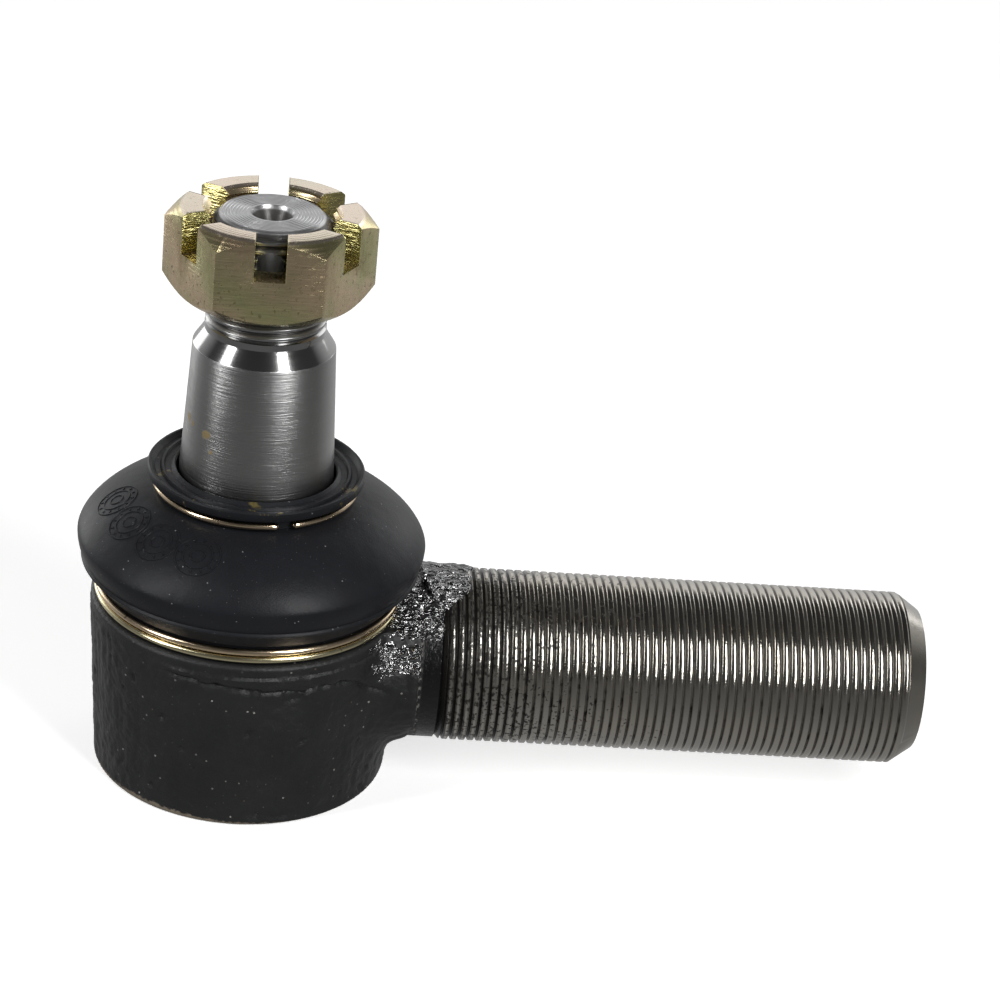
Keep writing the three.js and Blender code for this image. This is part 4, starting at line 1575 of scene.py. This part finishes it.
@dataclass
class BootRings:
    """Two turns of wire round the boot's lip and one open turn round its neck."""

    lower: Extent = field(default_factory=lambda: Extent.of("boot_lower_ring"))
    upper: Extent = field(default_factory=lambda: Extent.of("boot_upper_ring"))
    wire: float = 1.16
    gap: float = 2.4
    gap_turn: float = -72.0
    coil_start: float = 92.0
    coil_turn: float = 668.0
    step_share: tuple[float, float] = (0.469, 0.522)

    def _wire(self, radius: float, height: float, start: float, turn: float,
              rise: float = 0.0) -> bpy.types.Mesh:
        """One bent wire with rounded ends.

        Args:
            radius: Radius of the wire's middle line.
            height: Height of its start.
            start: Direction of its start in degrees.
            turn: How far it goes round, in degrees.
            rise: How much it climbs on the way.

        Returns:
            The wire.
        """
        bm = bmesh.new()
        steps = max(24, round(abs(turn) / 2.5))
        loops = []
        for i in range(-2, steps + 3):
            share = min(max(i / steps, 0.0), 1.0)
            spread = 1.0 if 0 <= i <= steps else (0.80 if i in (-1, steps + 1) else 0.35)
            beyond = 0.35 if i in (-1, steps + 1) else 0.55
            shift = 0.0 if 0 <= i <= steps else math.degrees(beyond / radius)
            angle = math.radians(start + turn * share + math.copysign(shift, i - 0.5 * steps))
            z = height + rise * eased(share, *self.step_share)
            ring = []
            for k in range(14):
                a = math.tau * k / 14
                r = radius + self.wire / 2 * spread * math.cos(a)
                ring.append(bm.verts.new(Vector((r * math.cos(angle), r * math.sin(angle),
                                                 z + self.wire / 2 * spread * math.sin(a))) * MM))
            loops.append(ring)
        for here, there in zip(loops, loops[1:]):
            for k in range(14):
                bm.faces.new((here[k], here[(k + 1) % 14], there[(k + 1) % 14], there[k]))
        bm.faces.new(loops[0])
        bm.faces.new(loops[-1])
        bmesh.ops.recalc_face_normals(bm, faces=bm.faces)
        return as_mesh(bm, "wire")

    def build(self) -> None:
        """Winds both rings and ties them to their bodies."""
        radius = self.lower.high.x - self.wire / 2
        foot = self.lower.low.z + self.wire / 2
        rise = self.lower.high.z - self.lower.low.z - self.wire
        coil = self._wire(radius, foot, self.coil_start, self.coil_turn, rise)
        plate = PlatedWire((self.lower.low.z + self.lower.high.z) / 2).make()
        Ride("housing", ("boot_lower_ring",), "ring_wire").put(shaded(coil, 60), "lower_wire_ring", plate)
        radius = self.upper.high.x - self.wire / 2
        height = (self.upper.low.z + self.upper.high.z) / 2
        half = math.degrees((self.gap / 2 + 0.5) / radius)
        coil = self._wire(radius, height, self.gap_turn + half, 360 - 2 * half)
        plate = PlatedWire(height - 3).make()
        Ride("boot_neck", ("boot_upper_ring",), "ring_wire").put(shaded(coil, 60), "upper_wire_ring", plate)


# ------------------------------------------------------------------ pieces inside the joint


@dataclass
class JointInsides:
    """Seats, disc spring, closing cover and seal, which keep the ball in the eye."""

    upper: Extent = field(default_factory=lambda: Extent.of("upper_ball_seat"))
    lower: Extent = field(default_factory=lambda: Extent.of("lower_ball_seat"))
    spring: Extent = field(default_factory=lambda: Extent.of("disc_spring"))
    cover: Extent = field(default_factory=lambda: Extent.of("closing_cover"))
    seal: Extent = field(default_factory=lambda: Extent.of("cover_seal_ring"))
    cup: float = 16.3
    mouth: float = 13.4
    spring_hole: float = 8.5
    spring_thickness: float = 1.0
    dish: float = 11.0
    dish_slope: float = 2.4
    sheet: float = 2.0

    def _upper_seat(self) -> bpy.types.Mesh:
        """The upper half of the ball's cup."""
        middle = (0, self.upper.low.z)
        climb = math.degrees(math.acos(self.mouth / self.cup))
        loop = [*arc(middle, self.upper.high.x, 0, climb, 20), *arc(middle, self.cup, climb, 0, 20)]
        return turned([*loop, loop[0]], 128)

    def _lower_seat(self) -> bpy.types.Mesh:
        """The lower half of the ball's cup."""
        top, foot, outer = self.lower.high.z, self.lower.low.z, self.lower.high.x
        drop = math.degrees(math.asin(min(1.0, (top - foot - 1.5) / self.cup)))
        loop = [(self.cup * math.cos(math.radians(drop)), foot), (outer - 0.4, foot), (outer, foot + 0.4),
                (outer, top), *arc((0, top), self.cup, 0, -drop, 20)]
        return turned([*loop, loop[0]], 128)

    def _spring(self) -> bpy.types.Mesh:
        """The coned spring disc."""
        low, high, outer = self.spring.low.z, self.spring.high.z, self.spring.high.x
        loop = soften([(outer, low), (outer, low + self.spring_thickness), (self.spring_hole, high),
                       (self.spring_hole, high - self.spring_thickness), (outer, low)], 0.2, 2)
        return turned([*loop[1:-1], loop[1]], 96)

    def _cover(self) -> bpy.types.Mesh:
        """The pressed cover with its flat dish."""
        low, high, outer = self.cover.low.z, self.cover.high.z, self.cover.high.x
        flange = high - self.sheet
        slope = self.dish + self.dish_slope
        return turned(soften([(0, low), (self.dish, low), (slope, flange), (outer, flange), (outer, high),
                              (slope, high), (self.dish, low + self.sheet), (0, low + self.sheet)],
                             0.5, 3), 128)

    def _seal(self) -> bpy.types.Mesh:
        """The sealing cord above the cover."""
        radius = (self.seal.high.z - self.seal.low.z) / 2
        middle = (self.seal.high.x - radius, self.seal.low.z + radius)
        return turned(arc(middle, radius, 0, 360, 16), 128)

    def build(self) -> None:
        """Makes the five pieces and rides them on the housing."""
        acetal = PlainFinish("natural_acetal", (0.70, 0.67, 0.58), (0.60, 0.57, 0.48), 0.0, 0.38).make()
        phosphate = PlainFinish("phosphated_spring", (0.10, 0.10, 0.10), (0.05, 0.05, 0.052), 0.8,
                                0.42).make()
        black = PlainFinish("black_cover_paint", (0.012, 0.012, 0.013), (0.025, 0.025, 0.026), 0.0,
                            0.36).make()
        rubber = PlainFinish("seal_cord_rubber", (0.010, 0.010, 0.010), (0.02, 0.02, 0.02), 0.0, 0.6).make()
        for node, name, mesh, slot, material in (
            ("upper_ball_seat", "upper_seat", self._upper_seat(), "seat_polymer", acetal),
            ("lower_ball_seat", "lower_seat", self._lower_seat(), "seat_polymer", acetal),
            ("disc_spring", "coned_spring", self._spring(), "spring_steel", phosphate),
            ("closing_cover", "pressed_cover", self._cover(), "black_steel", black),
            ("cover_seal_ring", "seal_cord", self._seal(), "seal_rubber", rubber),
        ):
            Ride("housing", (node,), slot).put(shaded(mesh, 34), name, material)


# ------------------------------------------------------------------ studio


@dataclass(frozen=True)
class Softbox:
    """A rectangular light at a direction round the object, in degrees to the camera's right."""

    name: str
    side: float
    rise: float
    distance: float
    size: Point
    power: float


@dataclass
class Studio:
    """Pale floor, soft light and the camera."""

    azimuth: float = -5.75
    elevation: float = 26.69
    roll: float = 6.0
    distance: float = 0.518
    target: Vector = field(default_factory=lambda: Vector((0.042, 0, 0.0482)))
    lens: float = 109.8
    shift: Point = (-0.002, 0.018)
    lights: tuple[Softbox, ...] = (
        Softbox("left_box", -60, 30, 0.9, (0.20, 0.76), 4.0),
        Softbox("right_box", 40, 32, 1.0, (0.22, 0.78), 7.2),
        Softbox("left_rear_box", -130, 4, 1.0, (0.45, 0.45), 1.25),
        Softbox("right_rear_box", 145, 20, 1.0, (0.40, 0.50), 0.7),
    )
    front_sky: tuple[Point, ...] = ((0.0, 0.31), (0.30, 0.17), (0.47, 0.13), (0.56, 0.07), (1.0, 0.03))
    back_sky: tuple[Point, ...] = ((0.0, 0.36), (0.40, 0.55), (0.725, 1.05), (0.775, 0.30), (0.83, 0.035))
    floor_glow: float = 0.66
    floor_drop: float = 0.00003

    def _away(self, side: float, rise: float) -> Vector:
        """Unit vector from the object towards a direction right of the camera and above the floor."""
        turn = math.radians(self.azimuth + side)
        level = math.cos(math.radians(rise))
        return Vector((math.sin(turn) * level, -math.cos(turn) * level, math.sin(math.radians(rise))))

    def _camera(self) -> None:
        """Sets the camera where the object was seen from."""
        back = self._away(0, self.elevation)
        level = Vector((0, 0, 1)).cross(back).normalized()
        steep = back.cross(level)
        roll = math.radians(self.roll)
        right = level * math.cos(roll) + steep * math.sin(roll)
        up = steep * math.cos(roll) - level * math.sin(roll)
        camera = bpy.data.cameras.new("camera")
        camera.lens, camera.sensor_width = self.lens, 36
        camera.shift_x, camera.shift_y = self.shift
        camera.clip_start = 0.01
        obj = bpy.data.objects.new("camera", camera)
        obj.matrix_world = Matrix.Translation(self.target + back * self.distance) @ Matrix(
            (right, up, back)).transposed().to_4x4()
        bpy.context.scene.collection.objects.link(obj)
        bpy.context.scene.camera = obj

    def _floor(self, height: float) -> None:
        """Lays the pale floor just under the object."""
        bm = bmesh.new()
        bmesh.ops.create_circle(bm, cap_ends=True, segments=96, radius=4.0)
        bmesh.ops.translate(bm, verts=bm.verts, vec=(0, 0, height - self.floor_drop))
        floor = placed(as_mesh(bm, "floor"), "floor")
        b = PaintBench("pale_floor")
        tone = b.mix(b.grain(90.0, 2.0), (0.86, 0.86, 0.86), (0.90, 0.90, 0.90))
        floor.data.materials.append(b.finish(Base_Color=tone, Roughness=0.9, Emission_Color=tone,
                                             Emission_Strength=self.floor_glow))
        floor.visible_glossy = False
        floor.visible_diffuse = False

    def _sky(self) -> None:
        """Dark in front and overhead, bright low down behind the object, grey below."""
        world = bpy.data.worlds.new("studio")
        bpy.context.scene.world = world
        world.use_nodes = True
        b = Bench(world.node_tree, "Generated", 1.0)
        height = b.axis(2) * 0.5 + 0.5
        front, back = (b.ramp(height, *[(at, (grey,) * 3) for at, grey in sky])
                       for sky in (self.front_sky, self.back_sky))
        behind = b.axis(1).above(0.45, 0.7)
        glow = b.mix(behind, front, back)
        b.tree.links.new(glow.socket, b.tree.nodes["Background"].inputs["Color"])

    def build(self, height: float) -> None:
        """Sets up floor, sky, lights and camera.

        Args:
            height: The floor's height in metres.
        """
        self._floor(height)
        self._sky()
        middle = Vector((self.target.x * 0.6, 0, self.target.z))
        for box in self.lights:
            light = bpy.data.lights.new(box.name, "AREA")
            light.shape = "RECTANGLE"
            light.size, light.size_y = box.size
            light.energy = box.power
            obj = bpy.data.objects.new(box.name, light)
            away = self._away(box.side, box.rise)
            facing = away.to_track_quat("Z", "Y").to_matrix().to_4x4()
            obj.matrix_world = Matrix.Translation(middle + away * box.distance) @ facing
            bpy.context.scene.collection.objects.link(obj)
        self._camera()
        bpy.context.scene.view_settings.view_transform = "Standard"
        log.info("studio: %d lights", len(self.lights))


def main() -> None:
    """Builds every piece, then the studio."""
    logging.basicConfig(level=logging.INFO, format="%(message)s")
    Housing().build()
    JointInsides().build()
    BallStud().build()
    CastleNut().build()
    DustBoot().build()
    BootRings().build()
    Studio().build(float(cad_bounds[0][2]))


if __name__ == "__main__":
    main()
